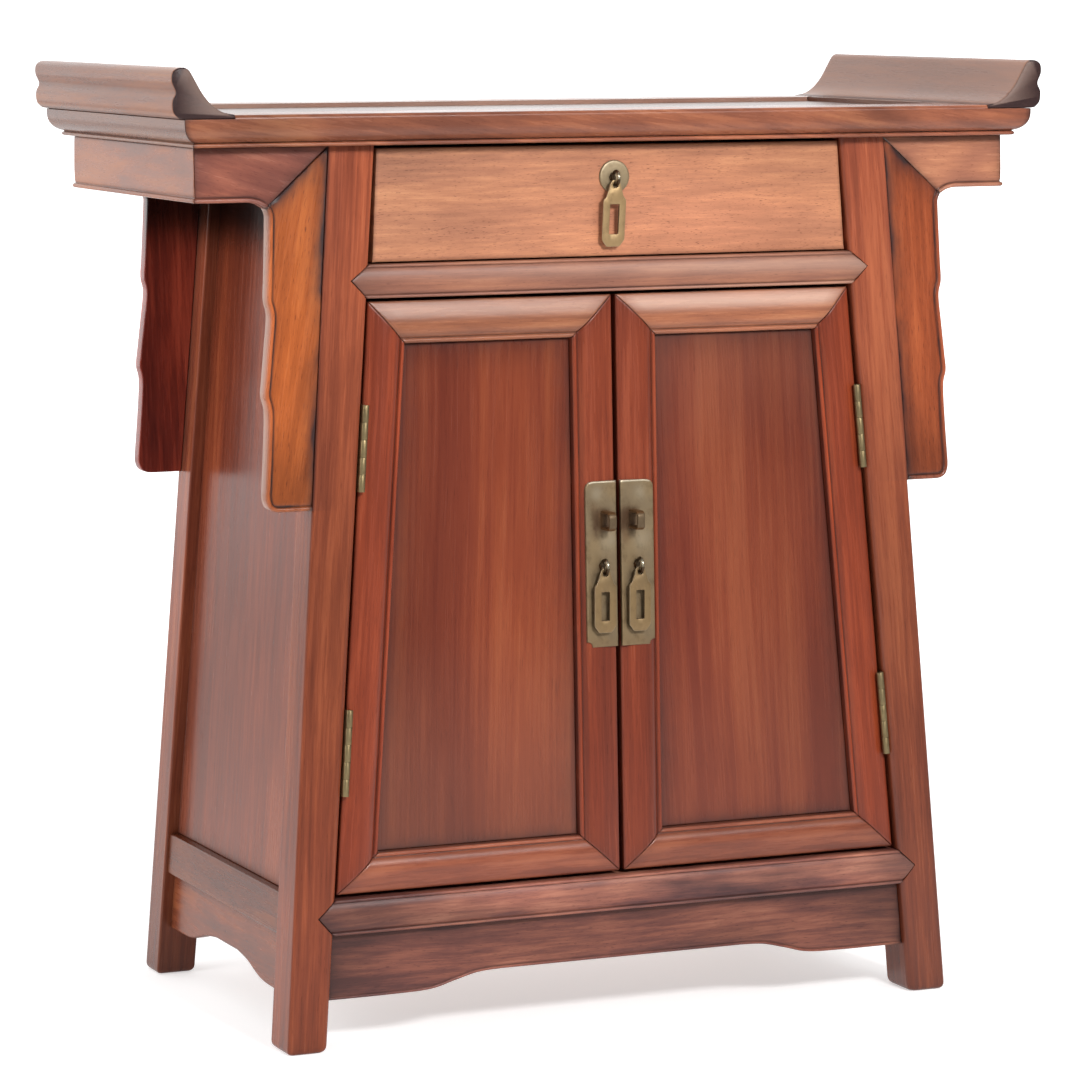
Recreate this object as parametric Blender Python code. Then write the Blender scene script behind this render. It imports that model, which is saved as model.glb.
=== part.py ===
# Altar cabinet with everted ends, splayed posts, one drawer and two framed
# doors. X runs to the right, Y to the back, Z up; the origin is on the floor
# at the centre. Lengths below are in millimetres and are turned into metres
# where a mesh is made.

import math

import bmesh
import bpy
from mathutils import Vector

MM = 0.001

# --- Driving dimensions, millimetres ---------------------------------------
CREST_Z = 850.0           # floor to the crest of the everted ends
TOP_Z = 810.0             # upper face of the top frame
PANEL_Z = 806.0           # upper face of the centre panel, set below its frame
HOUSING_Z = 806.5         # floor of the housings the everted ends stand in
HOUSING_X = 360.2         # inner edge of those housings
UNDER_Z = 782.0           # underside of the top frame
TOP_HALF_X = 405.0        # half length of the top frame
TOP_HALF_Y = 189.7        # centre to the front edge of the top frame
TOP_BACK_Y = 193.5        # centre to its back edge
TOP_FRAME_W = 62.0        # width of the mitred frame members
GAP = 0.3                 # clearance kept between touching pieces

HALF_DEPTH_TOP = 165.1    # front face of the posts under the top
LEAN_DEPTH = 0.0402       # how fast that face comes forward going down
POST_OUT_TOP = 267.1      # outer side face of the posts under the top
LEAN_OUT = 0.0711
POST_IN_TOP = 224.1       # inner side face of the posts under the top
LEAN_IN = 0.0788
POST_BACK_TOP = 129.1     # depth-wise inner face of the posts under the top
LEAN_BACK = 0.0299
BACK_DEPTH_TOP = 164.8    # back face of the back posts under the top
LEAN_REAR = 0.0290        # the back leans less than the front
FOOT_CHAMFER = 3.0

DRAWER_RAIL = (650.9, 666.4, 680.2, 249.2)   # bottom, tip, top, tip half width
BOTTOM_RAIL = (101.4, 117.6, 132.6, 291.7)
RAIL_LAP = 12.0           # depth of the pointed shoulder let into the post
SIDE_RAIL_Z = (97.0, 134.0)
FLOOR_Z = (118.0, 130.0)

DRAWER_Z = (682.5, 778.5)
DRAWER_HALF = (228.0, 222.3)
DRAWER_RECESS = 4.0
DRAWER_THICK = 16.0

DOOR_Z = (135.5, 648.0)
DOOR_PANEL_Z = (170.5, 610.5)
DOOR_RECESS = 5.0
DOOR_THICK = 22.0
DOOR_SEAM = 2.6           # gap between post and door, filled by the hinge leaves
DOOR_MEET = 1.75          # half of the gap between the doors
STILE_W = 37.0
MEET_STILE_X = 41.0

HINGE_R = 3.25            # radius of the hinge barrel
HINGE_LEN = 75.0
HINGE_LOW_Z = (222.4, 485.0)
HINGE_FROM_POST = 3.7     # barrel axis to the inner face of the post
HINGE_BEHIND = 1.45       # barrel axis behind the front face of the post
PIN_R = 1.45
BORE_R = 1.95

PLATE_X = (2.2, 32.0)
PLATE_Z = (337.0, 484.0)
PLATE_THICK = 1.5
STAPLE_X = 13.7
STAPLE_Z = (441.0, 458.0)
STAPLE_OUT = 19.5
STAPLE_W = 8.0
STRAP = 2.6
EYE_R = 6.0               # centre-line radius of a pull's eye
EYE_WIRE = 1.5
EYE_OUT = 8.0             # eye centre in front of its plate
DOOR_EYE_X = 16.9
DOOR_EYE_Z = 409.0
DRAWER_EYE_Z = 750.0
DROP_THICK = 2.2

SPANDREL_THICK = 14.0
APRON_Z = 735.2
APRON_HALF_X = 390.2
SPANDREL_Z = 471.0

# --- Scene ------------------------------------------------------------------
for old in list(bpy.data.objects):
    bpy.data.objects.remove(old, do_unlink=True)


def finish(name, rgb, rough, metal=0.0):
    m = bpy.data.materials.new(name)
    m.use_nodes = True
    b = m.node_tree.nodes["Principled BSDF"]
    b.inputs["Base Color"].default_value = (*rgb, 1.0)
    b.inputs["Roughness"].default_value = rough
    b.inputs["Metallic"].default_value = metal
    m.diffuse_color = (*rgb, 1.0)
    return m


FRAME_WOOD = finish("frame_wood", (0.24, 0.065, 0.025), 0.30)
PANEL_WOOD = finish("panel_wood", (0.17, 0.040, 0.018), 0.28)
TOP_WOOD = finish("top_wood", (0.23, 0.075, 0.035), 0.30)
DRAWER_WOOD = finish("drawer_wood", (0.36, 0.13, 0.055), 0.32)
SPANDREL_WOOD = finish("spandrel_wood", (0.30, 0.085, 0.028), 0.30)
INNER_WOOD = finish("inner_wood", (0.26, 0.12, 0.06), 0.55)
BRASS = finish("brass", (0.42, 0.33, 0.15), 0.38, 1.0)


# --- Mesh helpers -------------------------------------------------------------
def hub(name, x, y, z):
    e = bpy.data.objects.new(name, None)
    e.location = (x * MM, y * MM, z * MM)
    e.empty_display_size = 0.02
    bpy.context.scene.collection.objects.link(e)
    return e


def solid(name, verts, faces, material, parent=None):
    origin = parent.location.copy() if parent else Vector((0.0, 0.0, 0.0))
    mesh = bpy.data.meshes.new(name)
    bm = bmesh.new()
    made = [bm.verts.new(Vector(v) * MM - origin) for v in verts]
    for f in faces:
        bm.faces.new([made[i] for i in f])
    bmesh.ops.recalc_face_normals(bm, faces=bm.faces[:])
    bm.to_mesh(mesh)
    bm.free()
    mesh.materials.append(material)
    ob = bpy.data.objects.new(name, mesh)
    bpy.context.scene.collection.objects.link(ob)
    if parent:
        ob.parent = parent
    return ob


def loft(name, rings, material, parent=None):
    n = len(rings[0])
    verts = [p for r in rings for p in r]
    faces = [tuple(range(n)), tuple(range((len(rings) - 1) * n, len(rings) * n))]
    for k in range(len(rings) - 1):
        for i in range(n):
            j = (i + 1) % n
            faces.append((k * n + i, k * n + j, (k + 1) * n + j, (k + 1) * n + i))
    return solid(name, verts, faces, material, parent)


def half_depth(z):
    return HALF_DEPTH_TOP + LEAN_DEPTH * (UNDER_Z - z)


def rear_depth(z):
    return BACK_DEPTH_TOP + LEAN_REAR * (UNDER_Z - z)


def post_out(z):
    return POST_OUT_TOP + LEAN_OUT * (UNDER_Z - z)


def post_in(z):
    return POST_IN_TOP + LEAN_IN * (UNDER_Z - z)


def post_back(z):
    return POST_BACK_TOP + LEAN_BACK * (UNDER_Z - z)


def front_slab(name, outline, d0, d1, material, parent=None, inner=None, side=-1, face=None):
    # A board in the leaning front plane (side -1) or back plane (side +1):
    # outline in (x, z), d is the depth behind the face of the posts.
    face = face or half_depth

    def at(pts, d):
        return [(x, side * (face(z) - d), z) for x, z in pts]
    return loft(name, [at(outline, d0), at(inner or outline, d1)], material, parent)


def side_slab(name, s, outline, d0, d1, material):
    # A board in the leaning side plane: outline in (y, z).
    def at(d):
        return [(s * (post_out(z) - d), y, z) for y, z in outline]
    return loft(name, [at(d0), at(d1)], material)


def block(name, lo, hi, material, parent=None):
    (x0, y0, z0), (x1, y1, z1) = lo, hi
    rings = [[(x0, y0, z), (x1, y0, z), (x1, y1, z), (x0, y1, z)] for z in (z0, z1)]
    return loft(name, rings, material, parent)


def mirror(pts, s):
    return [(s * a, b) for a, b in pts]


def curve(points, steps):
    # A smooth line through the points (Catmull-Rom).
    out = []
    for i in range(len(points) - 1):
        p0 = Vector(points[max(i - 1, 0)])
        p1, p2 = Vector(points[i]), Vector(points[i + 1])
        p3 = Vector(points[min(i + 2, len(points) - 1)])
        for k in range(steps):
            t = k / steps
            q = 0.5 * (2 * p1 + (p2 - p0) * t + (2 * p0 - 5 * p1 + 4 * p2 - p3) * t * t
                       + (3 * p1 - p0 - 3 * p2 + p3) * t ** 3)
            out.append(tuple(q))
    out.append(tuple(points[-1]))
    return out


def inset(poly, g):
    # Move every edge of a convex outline inwards by g.
    area = sum(a[0] * b[1] - b[0] * a[1] for a, b in zip(poly, poly[1:] + poly[:1]))
    s = 1.0 if area > 0 else -1.0
    lines = []
    for a, b in zip(poly, poly[1:] + poly[:1]):
        d = Vector((b[0] - a[0], b[1] - a[1])).normalized()
        nrm = Vector((-d.y, d.x)) * s
        lines.append((Vector(a) + nrm * g, d))
    out = []
    for i in range(len(poly)):
        (p, d), (q, e) = lines[i - 1], lines[i]
        t = ((q.x - p.x) * e.y - (q.y - p.y) * e.x) / (d.x * e.y - d.y * e.x)
        out.append(tuple(p + d * t))
    return out


def combine(target, tool, operation):
    tool.hide_render = True
    tool.display_type = "WIRE"
    m = target.modifiers.new(operation.lower(), "BOOLEAN")
    m.operation = operation
    m.solver = "EXACT"
    m.object = tool
    return target


# --- Top: mitred frame, floating panel, everted ends ----------------------------
EDGE = [(0.3, 798.5), (3.2, 792.5), (8.0, 787.9), (12.6, 785.3), (12.6, UNDER_Z), (TOP_FRAME_W, UNDER_Z),
        (TOP_FRAME_W, TOP_Z)]
LONG_EDGE = EDGE + [(1.6, TOP_Z), (0.0, TOP_Z - 2.4)]
END_EDGE = EDGE + [(TOP_HALF_X - HOUSING_X, TOP_Z), (TOP_HALF_X - HOUSING_X, HOUSING_Z), (0.8, HOUSING_Z),
                   (0.0, HOUSING_Z - 1.6)]


def top_y(s, o):
    return -(TOP_HALF_Y - o) if s < 0 else TOP_BACK_Y - o


for nm, s in (("front", -1), ("back", 1)):
    ob = loft("top_frame_" + nm,
              [[(e * (TOP_HALF_X - o - GAP / 2 - 0.05), top_y(s, o), z) for o, z in LONG_EDGE]
               for e in (-1, 1)], TOP_WOOD)
    for end, e in (("left", -1), ("right", 1)):
        combine(ob, block("housing_%s_%s" % (nm, end), (min(e * HOUSING_X, e * 430.0), -230.0, HOUSING_Z),
                          (max(e * HOUSING_X, e * 430.0), 230.0, TOP_Z + 9.0), TOP_WOOD), "DIFFERENCE")
for nm, s in (("left", -1), ("right", 1)):
    loft("top_frame_" + nm,
         [[(s * (TOP_HALF_X - o), top_y(e, o + GAP / 2 + 0.05), z) for o, z in END_EDGE]
          for e in (-1, 1)], TOP_WOOD)
block("top_panel", (-(TOP_HALF_X - TOP_FRAME_W - GAP), top_y(-1, TOP_FRAME_W + GAP), UNDER_Z + 6.0),
      (TOP_HALF_X - TOP_FRAME_W - GAP, top_y(1, TOP_FRAME_W + GAP), PANEL_Z), TOP_WOOD)

FLANGE_BASE = HOUSING_Z + GAP
inner_sweep = curve([(HOUSING_X + GAP, TOP_Z + 0.2), (371.0, 812.4), (380.5, 818.4), (388.5, 827.6),
                     (394.8, 838.2), (400.2, 847.2), (404.5, CREST_Z)], 2)
outer_sweep = curve([(410.5, CREST_Z - 0.6), (415.0, 845.6), (415.6, 838.0), (412.2, 829.2),
                     (415.2, 821.5), (414.4, 812.5), (409.5, FLANGE_BASE + 0.6)], 2)
FLANGE = [(HOUSING_X + GAP, FLANGE_BASE)] + inner_sweep + outer_sweep + [(405.5, FLANGE_BASE)]
for nm, s in (("left", -1), ("right", 1)):
    loft("flange_" + nm, [[(s * x, top_y(e, 0.0), z) for x, z in FLANGE] for e in (-1, 1)], TOP_WOOD)

# --- Posts ------------------------------------------------------------------------


def post(name, sx, sy):
    def ring(z, c):
        xi, xo = post_in(z) + c, post_out(z) - c
        yo, yi = (half_depth(z) if sy < 0 else rear_depth(z)) - c, post_back(z) + c
        return [(sx * xi, sy * yo, z), (sx * xo, sy * yo, z), (sx * xo, sy * yi, z), (sx * xi, sy * yi, z)]
    return loft(name, [ring(0.0, FOOT_CHAMFER), ring(FOOT_CHAMFER, 0.0), ring(UNDER_Z - GAP, 0.0)], FRAME_WOOD)


def rail_point(rail):
    low, tip_z, high, tip_x = rail
    return [(post_in(high), high), (tip_x, tip_z), (post_in(low), low)]


def notch(name, rail, s):
    # The V-shaped housing in the post for the pointed shoulder of a rail.
    a, t, b = [Vector(p) for p in rail_point(rail)]
    grow = 0.35
    da, db = (t - a).normalized(), (t - b).normalized()
    na, nb = Vector((-da.y, da.x)), Vector((db.y, -db.x))
    if na.y < 0:
        na = -na
    if nb.y > 0:
        nb = -nb
    tip = t + Vector((grow / math.sin(math.acos(max(-1.0, min(1.0, da.dot(db)))) / 2), 0.0))
    a2 = a + na * grow - da * 6.0
    b2 = b + nb * grow - db * 6.0
    tri = mirror([tuple(a2), tuple(tip), tuple(b2)], s)
    return front_slab(name, tri, -6.0, RAIL_LAP + 0.4, FRAME_WOOD)


for nm, sx in (("left", -1), ("right", 1)):
    p = post("post_front_" + nm, sx, -1)
    combine(p, notch("notch_drawer_" + nm, DRAWER_RAIL, sx), "DIFFERENCE")
    combine(p, notch("notch_bottom_" + nm, BOTTOM_RAIL, sx), "DIFFERENCE")
    post("post_back_" + nm, sx, 1)

# --- Rails, floor, panels -----------------------------------------------------------


def rail(name, r, depth):
    low, tip_z, high, tip_x = r
    pts = rail_point(r)
    hexagon = pts + mirror(pts[::-1], -1)
    ob = front_slab(name, hexagon, 0.0, RAIL_LAP, FRAME_WOOD)
    lo, hi = low + 0.4, high - 0.4
    core = [(post_in(hi) - GAP, hi), (post_in(lo) - GAP, lo), (-post_in(lo) + GAP, lo), (-post_in(hi) + GAP, hi)]
    tool = front_slab(name + "_core", core, 2.0, depth, FRAME_WOOD)
    return combine(ob, tool, "UNION")


rail("drawer_rail", DRAWER_RAIL, 36.0)
rail("bottom_rail", BOTTOM_RAIL, 43.0)

lo, hi = BOTTOM_RAIL[0], BOTTOM_RAIL[2]
front_slab("back_rail", [(post_in(hi) - GAP, hi), (post_in(lo) - GAP, lo),
                         (-post_in(lo) + GAP, lo), (-post_in(hi) + GAP, hi)], 4.0, 35.3, FRAME_WOOD, side=1,
           face=rear_depth)
front_slab("back_panel", [(post_in(781.5) - GAP, 781.5), (post_in(hi) - GAP, hi + GAP),
                          (-post_in(hi) + GAP, hi + GAP), (-post_in(781.5) + GAP, 781.5)],
           8.0, 18.0, PANEL_WOOD, side=1, face=rear_depth)

half_apron = curve([(post_in(44.0) - GAP, 44.0), (225.0, 44.0), (186.0, 45.2), (162.0, 51.0), (140.0, 56.2),
                    (118.0, 57.5)], 2)
top_z = BOTTOM_RAIL[0] - GAP
front_slab("bottom_apron", [(post_in(top_z) - GAP, top_z)] + half_apron + mirror(half_apron[::-1], -1)
           + [(-post_in(top_z) + GAP, top_z)], 8.0, 20.0, FRAME_WOOD)

half_skirt = curve([(post_back(44.2) - GAP, 44.2), (122.0, 44.4), (98.0, 45.2), (79.0, 48.6), (54.0, 55.4),
                    (28.0, 59.0)], 2)
z0, z1 = SIDE_RAIL_Z
for nm, s in (("left", -1), ("right", 1)):
    ob = side_slab("side_rail_" + nm, s, [(post_back(z1) - GAP, z1), (post_back(z0) - GAP, z0),
                                          (-post_back(z0) + GAP, z0), (-post_back(z1) + GAP, z1)],
                   3.0, 28.0, FRAME_WOOD)
    skirt = [(post_back(z0 + 10.0) - GAP - 0.1, z0 + 10.0)] + half_skirt
    tool = side_slab("side_skirt_" + nm, s, skirt + mirror(skirt[::-1], -1), 10.0, 20.0, FRAME_WOOD)
    combine(ob, tool, "UNION")
    side_slab("side_panel_" + nm, s, [(post_back(781.5) - GAP, 781.5), (post_back(z1 + GAP) - GAP, z1 + GAP),
                                      (-post_back(z1 + GAP) + GAP, z1 + GAP), (-post_back(781.5) + GAP, 781.5)],
              11.0, 21.0, PANEL_WOOD)
    block("drawer_runner_" + nm, (min(s * 196.0, s * 252.5), -131.0, 671.0),
          (max(s * 196.0, s * 252.5), 131.0, 684.2), INNER_WOOD)

block("floor_panel", (-285.3, -148.0, FLOOR_Z[0]), (285.3, 148.0, FLOOR_Z[1]), INNER_WOOD)

# --- Hanging aprons and spandrels under the overhang ----------------------------------
MITRE_A = (POST_OUT_TOP + 0.6, UNDER_Z - GAP)
MITRE_B = (325.5, 729.8)
ma, mb = Vector(MITRE_A), Vector(MITRE_B)
mdir = (mb - ma).normalized()
mnorm = Vector((-mdir.y, mdir.x))
if mnorm.y < 0:
    mnorm = -mnorm
HALF = GAP / 2


def apron_outline(end_x):
    a, b = ma + mnorm * HALF, mb + mnorm * HALF
    a.y = UNDER_Z - GAP
    a.x += HALF * 1.5
    return [tuple(a), (end_x, UNDER_Z - GAP), (end_x, APRON_Z), (345.0, APRON_Z), (338.0, 734.9),
            (331.5, 733.2), tuple(b)]


def spandrel_outline():
    a, b = ma - mnorm * HALF, mb - mnorm * HALF
    edge = curve([tuple(b), (323.2, 725.0), (322.9, 717.0), (324.7, 672.0), (325.6, 652.0), (323.1, 638.0),
                  (325.6, 612.0), (328.6, 584.0), (329.8, 570.0), (327.1, 556.0), (328.4, 524.0),
                  (331.0, 487.0)], 2)
    edge += [(330.6, 480.5), (328.0, 474.6), (322.6, 471.5), (315.0, SPANDREL_Z)]
    low = post_out(SPANDREL_Z) + GAP
    za = UNDER_Z - 1.2
    return [(post_out(za) + GAP, za)] + edge + [(low, SPANDREL_Z)]


def full_outline(end_x):
    b = spandrel_outline()
    return [(post_out(UNDER_Z - GAP) + GAP, UNDER_Z - GAP)] + apron_outline(end_x)[1:-1] + b[1:]


for nm, s in (("left", -1), ("right", 1)):
    cut = APRON_HALF_X - SPANDREL_THICK - 0.1
    front_slab("apron_front_" + nm, mirror(apron_outline(APRON_HALF_X - 0.1), s), 0.0, SPANDREL_THICK,
               SPANDREL_WOOD, inner=mirror(apron_outline(cut), s))
    front_slab("spandrel_front_" + nm, mirror(spandrel_outline(), s), 0.0, SPANDREL_THICK, SPANDREL_WOOD)
    front_slab("spandrel_back_" + nm, mirror(full_outline(APRON_HALF_X - 0.1), s), 0.0, SPANDREL_THICK,
               SPANDREL_WOOD, inner=mirror(full_outline(cut), s), side=1)
    rings = []
    for x, d in ((APRON_HALF_X, 0.0), (APRON_HALF_X - SPANDREL_THICK, SPANDREL_THICK)):
        za, zb = UNDER_Z - GAP, APRON_Z
        rings.append([(s * x, e * (half_depth(z) - d - 0.2), z)
                      for e, z in ((-1, za), (-1, zb), (1, zb), (1, za))])
    loft("end_apron_" + nm, rings, SPANDREL_WOOD)

# --- Drawer ------------------------------------------------------------------------------
drawer = hub("drawer_axis", 0.0, -half_depth(730.0), 730.0)
z0, z1 = DRAWER_Z
front_slab("drawer_front", [(DRAWER_HALF[0], z0), (DRAWER_HALF[1], z1), (-DRAWER_HALF[1], z1),
                            (-DRAWER_HALF[0], z0)], DRAWER_RECESS, DRAWER_RECESS + DRAWER_THICK,
           DRAWER_WOOD, drawer)


def box_y(z):
    return -half_depth(z) + DRAWER_RECESS + DRAWER_THICK + GAP


for nm, s in (("left", -1), ("right", 1)):
    prof = [(box_y(684.5), 684.5), (118.0, 684.5), (118.0, 766.0), (box_y(766.0), 766.0)]
    loft("drawer_side_" + nm, [[(s * x, y, z) for y, z in prof] for x in (201.0, 211.0)], INNER_WOOD, drawer)
block("drawer_back", (-200.7, 108.0, 690.8), (200.7, 118.0, 760.0), INNER_WOOD, drawer)
loft("drawer_bottom", [[(x, y, z) for y, z in ((box_y(684.5), 684.5), (118.0, 684.5), (118.0, 690.5),
                                               (box_y(690.5), 690.5))] for x in (-200.7, 200.7)],
     INNER_WOOD, drawer)


# --- Pulls: an eye on a plate, and a slotted drop hanging in it --------------------------
def ring_solid(name, c, parent):
    major, minor = 14, 6
    verts, faces = [], []
    for i in range(major):
        a = 2 * math.pi * i / major
        for k in range(minor):
            b = 2 * math.pi * k / minor
            r = EYE_R + EYE_WIRE * math.cos(b)
            verts.append((c[0] + EYE_WIRE * math.sin(b), c[1] + r * math.cos(a), c[2] + r * math.sin(a)))
    for i in range(major):
        for k in range(minor):
            i2, k2 = (i + 1) % major, (k + 1) % minor
            faces.append((i * minor + k, i * minor + k2, i2 * minor + k2, i2 * minor + k))
    return solid(name, verts, faces, BRASS, parent)


def stem_solid(name, c, plate_y, parent):
    n = 8
    rings = [[(c[0] + 1.9 * math.cos(2 * math.pi * i / n), y, c[2] + 1.9 * math.sin(2 * math.pi * i / n))
              for i in range(n)] for y in (c[1] + EYE_R - 0.4, plate_y)]
    return loft(name, rings, BRASS, parent)


def eye(target, c, plate_mid_y, parent):
    combine(target, stem_solid(target.name + "_stem", c, plate_mid_y, parent), "UNION")
    combine(target, ring_solid(target.name + "_eye", c, parent), "UNION")


def drop(name, c, width, bottom, shoulder, slot, parent):
    hole_z = c[2] - EYE_R
    w = width / 2
    half = [(3.2, hole_z + 4.4), (4.9, hole_z + 2.6), (5.2, hole_z - 3.0), (w - 0.6, shoulder),
            (w, shoulder - 1.5), (w, bottom + 9.0), (w - 3.6, bottom + 2.4), (w - 6.6, bottom)]
    outline = half + mirror(half[::-1], -1)
    ob = loft(name, [[(c[0] + x, c[1] + e * DROP_THICK / 2, z) for x, z in outline] for e in (-1, 1)],
              BRASS, parent)
    hole = [(2.6 * math.cos(2 * math.pi * (i + 0.5) / 10), hole_z + 2.6 * math.sin(2 * math.pi * (i + 0.5) / 10))
            for i in range(10)]
    combine(ob, loft(name + "_hole", [[(c[0] + x, c[1] + e * 5.0, z) for x, z in hole] for e in (-1, 1)],
                     BRASS, parent), "DIFFERENCE")
    (sw, s0, s1) = slot
    win = [(-sw / 2, s0), (sw / 2, s0), (sw / 2, s1), (-sw / 2, s1)]
    combine(ob, loft(name + "_slot", [[(c[0] + x, c[1] + e * 5.0, z) for x, z in win] for e in (-1, 1)],
                     BRASS, parent), "DIFFERENCE")
    return ob


def face_y(z, d):
    return -half_depth(z) + d


pd1 = DRAWER_RECESS - GAP
pd0 = pd1 - 1.6
disc = [(14.4 * math.cos(2 * math.pi * (i + 0.5) / 20), 751.0 + 14.4 * math.sin(2 * math.pi * (i + 0.5) / 20))
        for i in range(20)]
rosette = front_slab("drawer_pull_plate", disc, pd0, pd1, BRASS, drawer)
c = (0.0, face_y(DRAWER_EYE_Z, pd0) - EYE_OUT, DRAWER_EYE_Z)
eye(rosette, c, face_y(DRAWER_EYE_Z, (pd0 + pd1) / 2), drawer)
drawer_pull = hub("drawer_pull_axis", *c)
drop("drawer_pull_drop", c, 24.0, 689.8, 727.5, (8.6, 700.0, 725.0), drawer_pull)


# --- Hinges ---------------------------------------------------------------------------------
def hinge_axis(s):
    n = Vector((-s * LEAN_IN, LEAN_DEPTH, 1.0)).normalized()
    e = Vector((s, 0.0, 0.0))
    e = (e - n * e.dot(n)).normalized()
    b = n.cross(e)
    if b.y < 0:
        b = -b
    return n, e, b


def hinge_point(s, z):
    return Vector((s * (post_in(z) - HINGE_FROM_POST), -half_depth(z) + HINGE_BEHIND, z))


def leaf(name, s, z, e0, e1, reach, own, ends, through_r, through_own, parent=None):
    # One hinge leaf: a plate with knuckles along the barrel. own lists the
    # spans of its knuckles; through_own says whether the inner round is a bore
    # of these knuckles or a pin that links them.
    axis, e, b = hinge_axis(s)
    start = hinge_point(s, z)
    near = HINGE_R + 0.35
    turn = 10
    a0 = math.atan2(near, e1)
    a1 = math.atan2(near, e0) - 2 * math.pi

    def place(pe, pb, h):
        return tuple(start + e * pe + b * pb + axis * h)
    angles = [a0 + (a1 - a0) * (k + 0.6) / (turn + 0.2) for k in range(turn)]
    outline = [(e1, near)] + [(HINGE_R * math.cos(a), HINGE_R * math.sin(a)) for a in angles] + [(e0, near)]
    inner = [(through_r * math.cos(a), through_r * math.sin(a)) for a in [a0] + angles + [a1]]
    m = len(outline)
    cuts = sorted({h for span in own for h in span} | set(ends))
    verts, faces, at = [], [], {}

    def add(key, pe, pb, h):
        if key not in at:
            at[key] = len(verts)
            verts.append(place(pe, pb, h))
        return at[key]

    def plate(h):
        return [add(("p", h, 0), e0, reach, h), add(("p", h, 1), e1, reach, h),
                add(("o", h, 0), e1, near, h), add(("o", h, m - 1), e0, near, h)]

    def outer(h):
        return [add(("o", h, i), *outline[i], h) for i in range(m)]

    def inside(h):
        return [add(("i", h, i), *inner[i], h) for i in range(m)]

    def strip(p, q, closed):
        for i in range(m if closed else m - 1):
            j = (i + 1) % m
            faces.append((p[i], p[j], q[j], q[i]))

    for k in range(len(cuts) - 1):
        h0, h1 = cuts[k], cuts[k + 1]
        p, q = plate(h0), plate(h1)
        faces.append((p[0], p[1], q[1], q[0]))
        faces.append((p[1], p[2], q[2], q[1]))
        faces.append((p[3], p[0], q[0], q[3]))
        mine = any(abs(h0 - a) < 1e-6 and abs(h1 - z2) < 1e-6 for a, z2 in own)
        if mine:
            strip(outer(h0), outer(h1), False)
            if through_own:
                strip(inside(h0), inside(h1), True)
        else:
            faces.append((p[2], p[3], q[3], q[2]))
            if not through_own and k not in (0, len(cuts) - 2):
                strip(inside(h0), inside(h1), True)
    for h in (cuts[0], cuts[-1]):
        faces.append(tuple(plate(h)))
    for a, z2 in own:
        for h in (a, z2):
            if not through_own and h in (cuts[0], cuts[-1]):
                faces.append(tuple(outer(h)))
            else:
                strip(outer(h), inside(h), True)
    return solid(name, verts, faces, BRASS, parent)


def hinge_pair(word, s, z, parent):
    k = HINGE_LEN / 5
    g = 0.25
    fixed = [(0.0, k - g), (2 * k + g, 3 * k - g), (4 * k + g, HINGE_LEN)]
    moving = [(k + g, 2 * k - g), (3 * k + g, 4 * k - g)]
    out = HINGE_FROM_POST - GAP
    leaf("hinge_%s_frame_leaf" % word, s, z, out - 0.9, out, 21.0, fixed, (0.0, HINGE_LEN), PIN_R, False)
    low = HINGE_FROM_POST - DOOR_SEAM + GAP
    leaf("hinge_%s_door_leaf" % word, s, z, low, low + 0.9, 21.0, moving, (1.0, HINGE_LEN - 1.0), BORE_R, True,
         parent)


# --- Doors -----------------------------------------------------------------------------------
def door_edge(z):
    return post_in(z) - DOOR_SEAM


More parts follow.
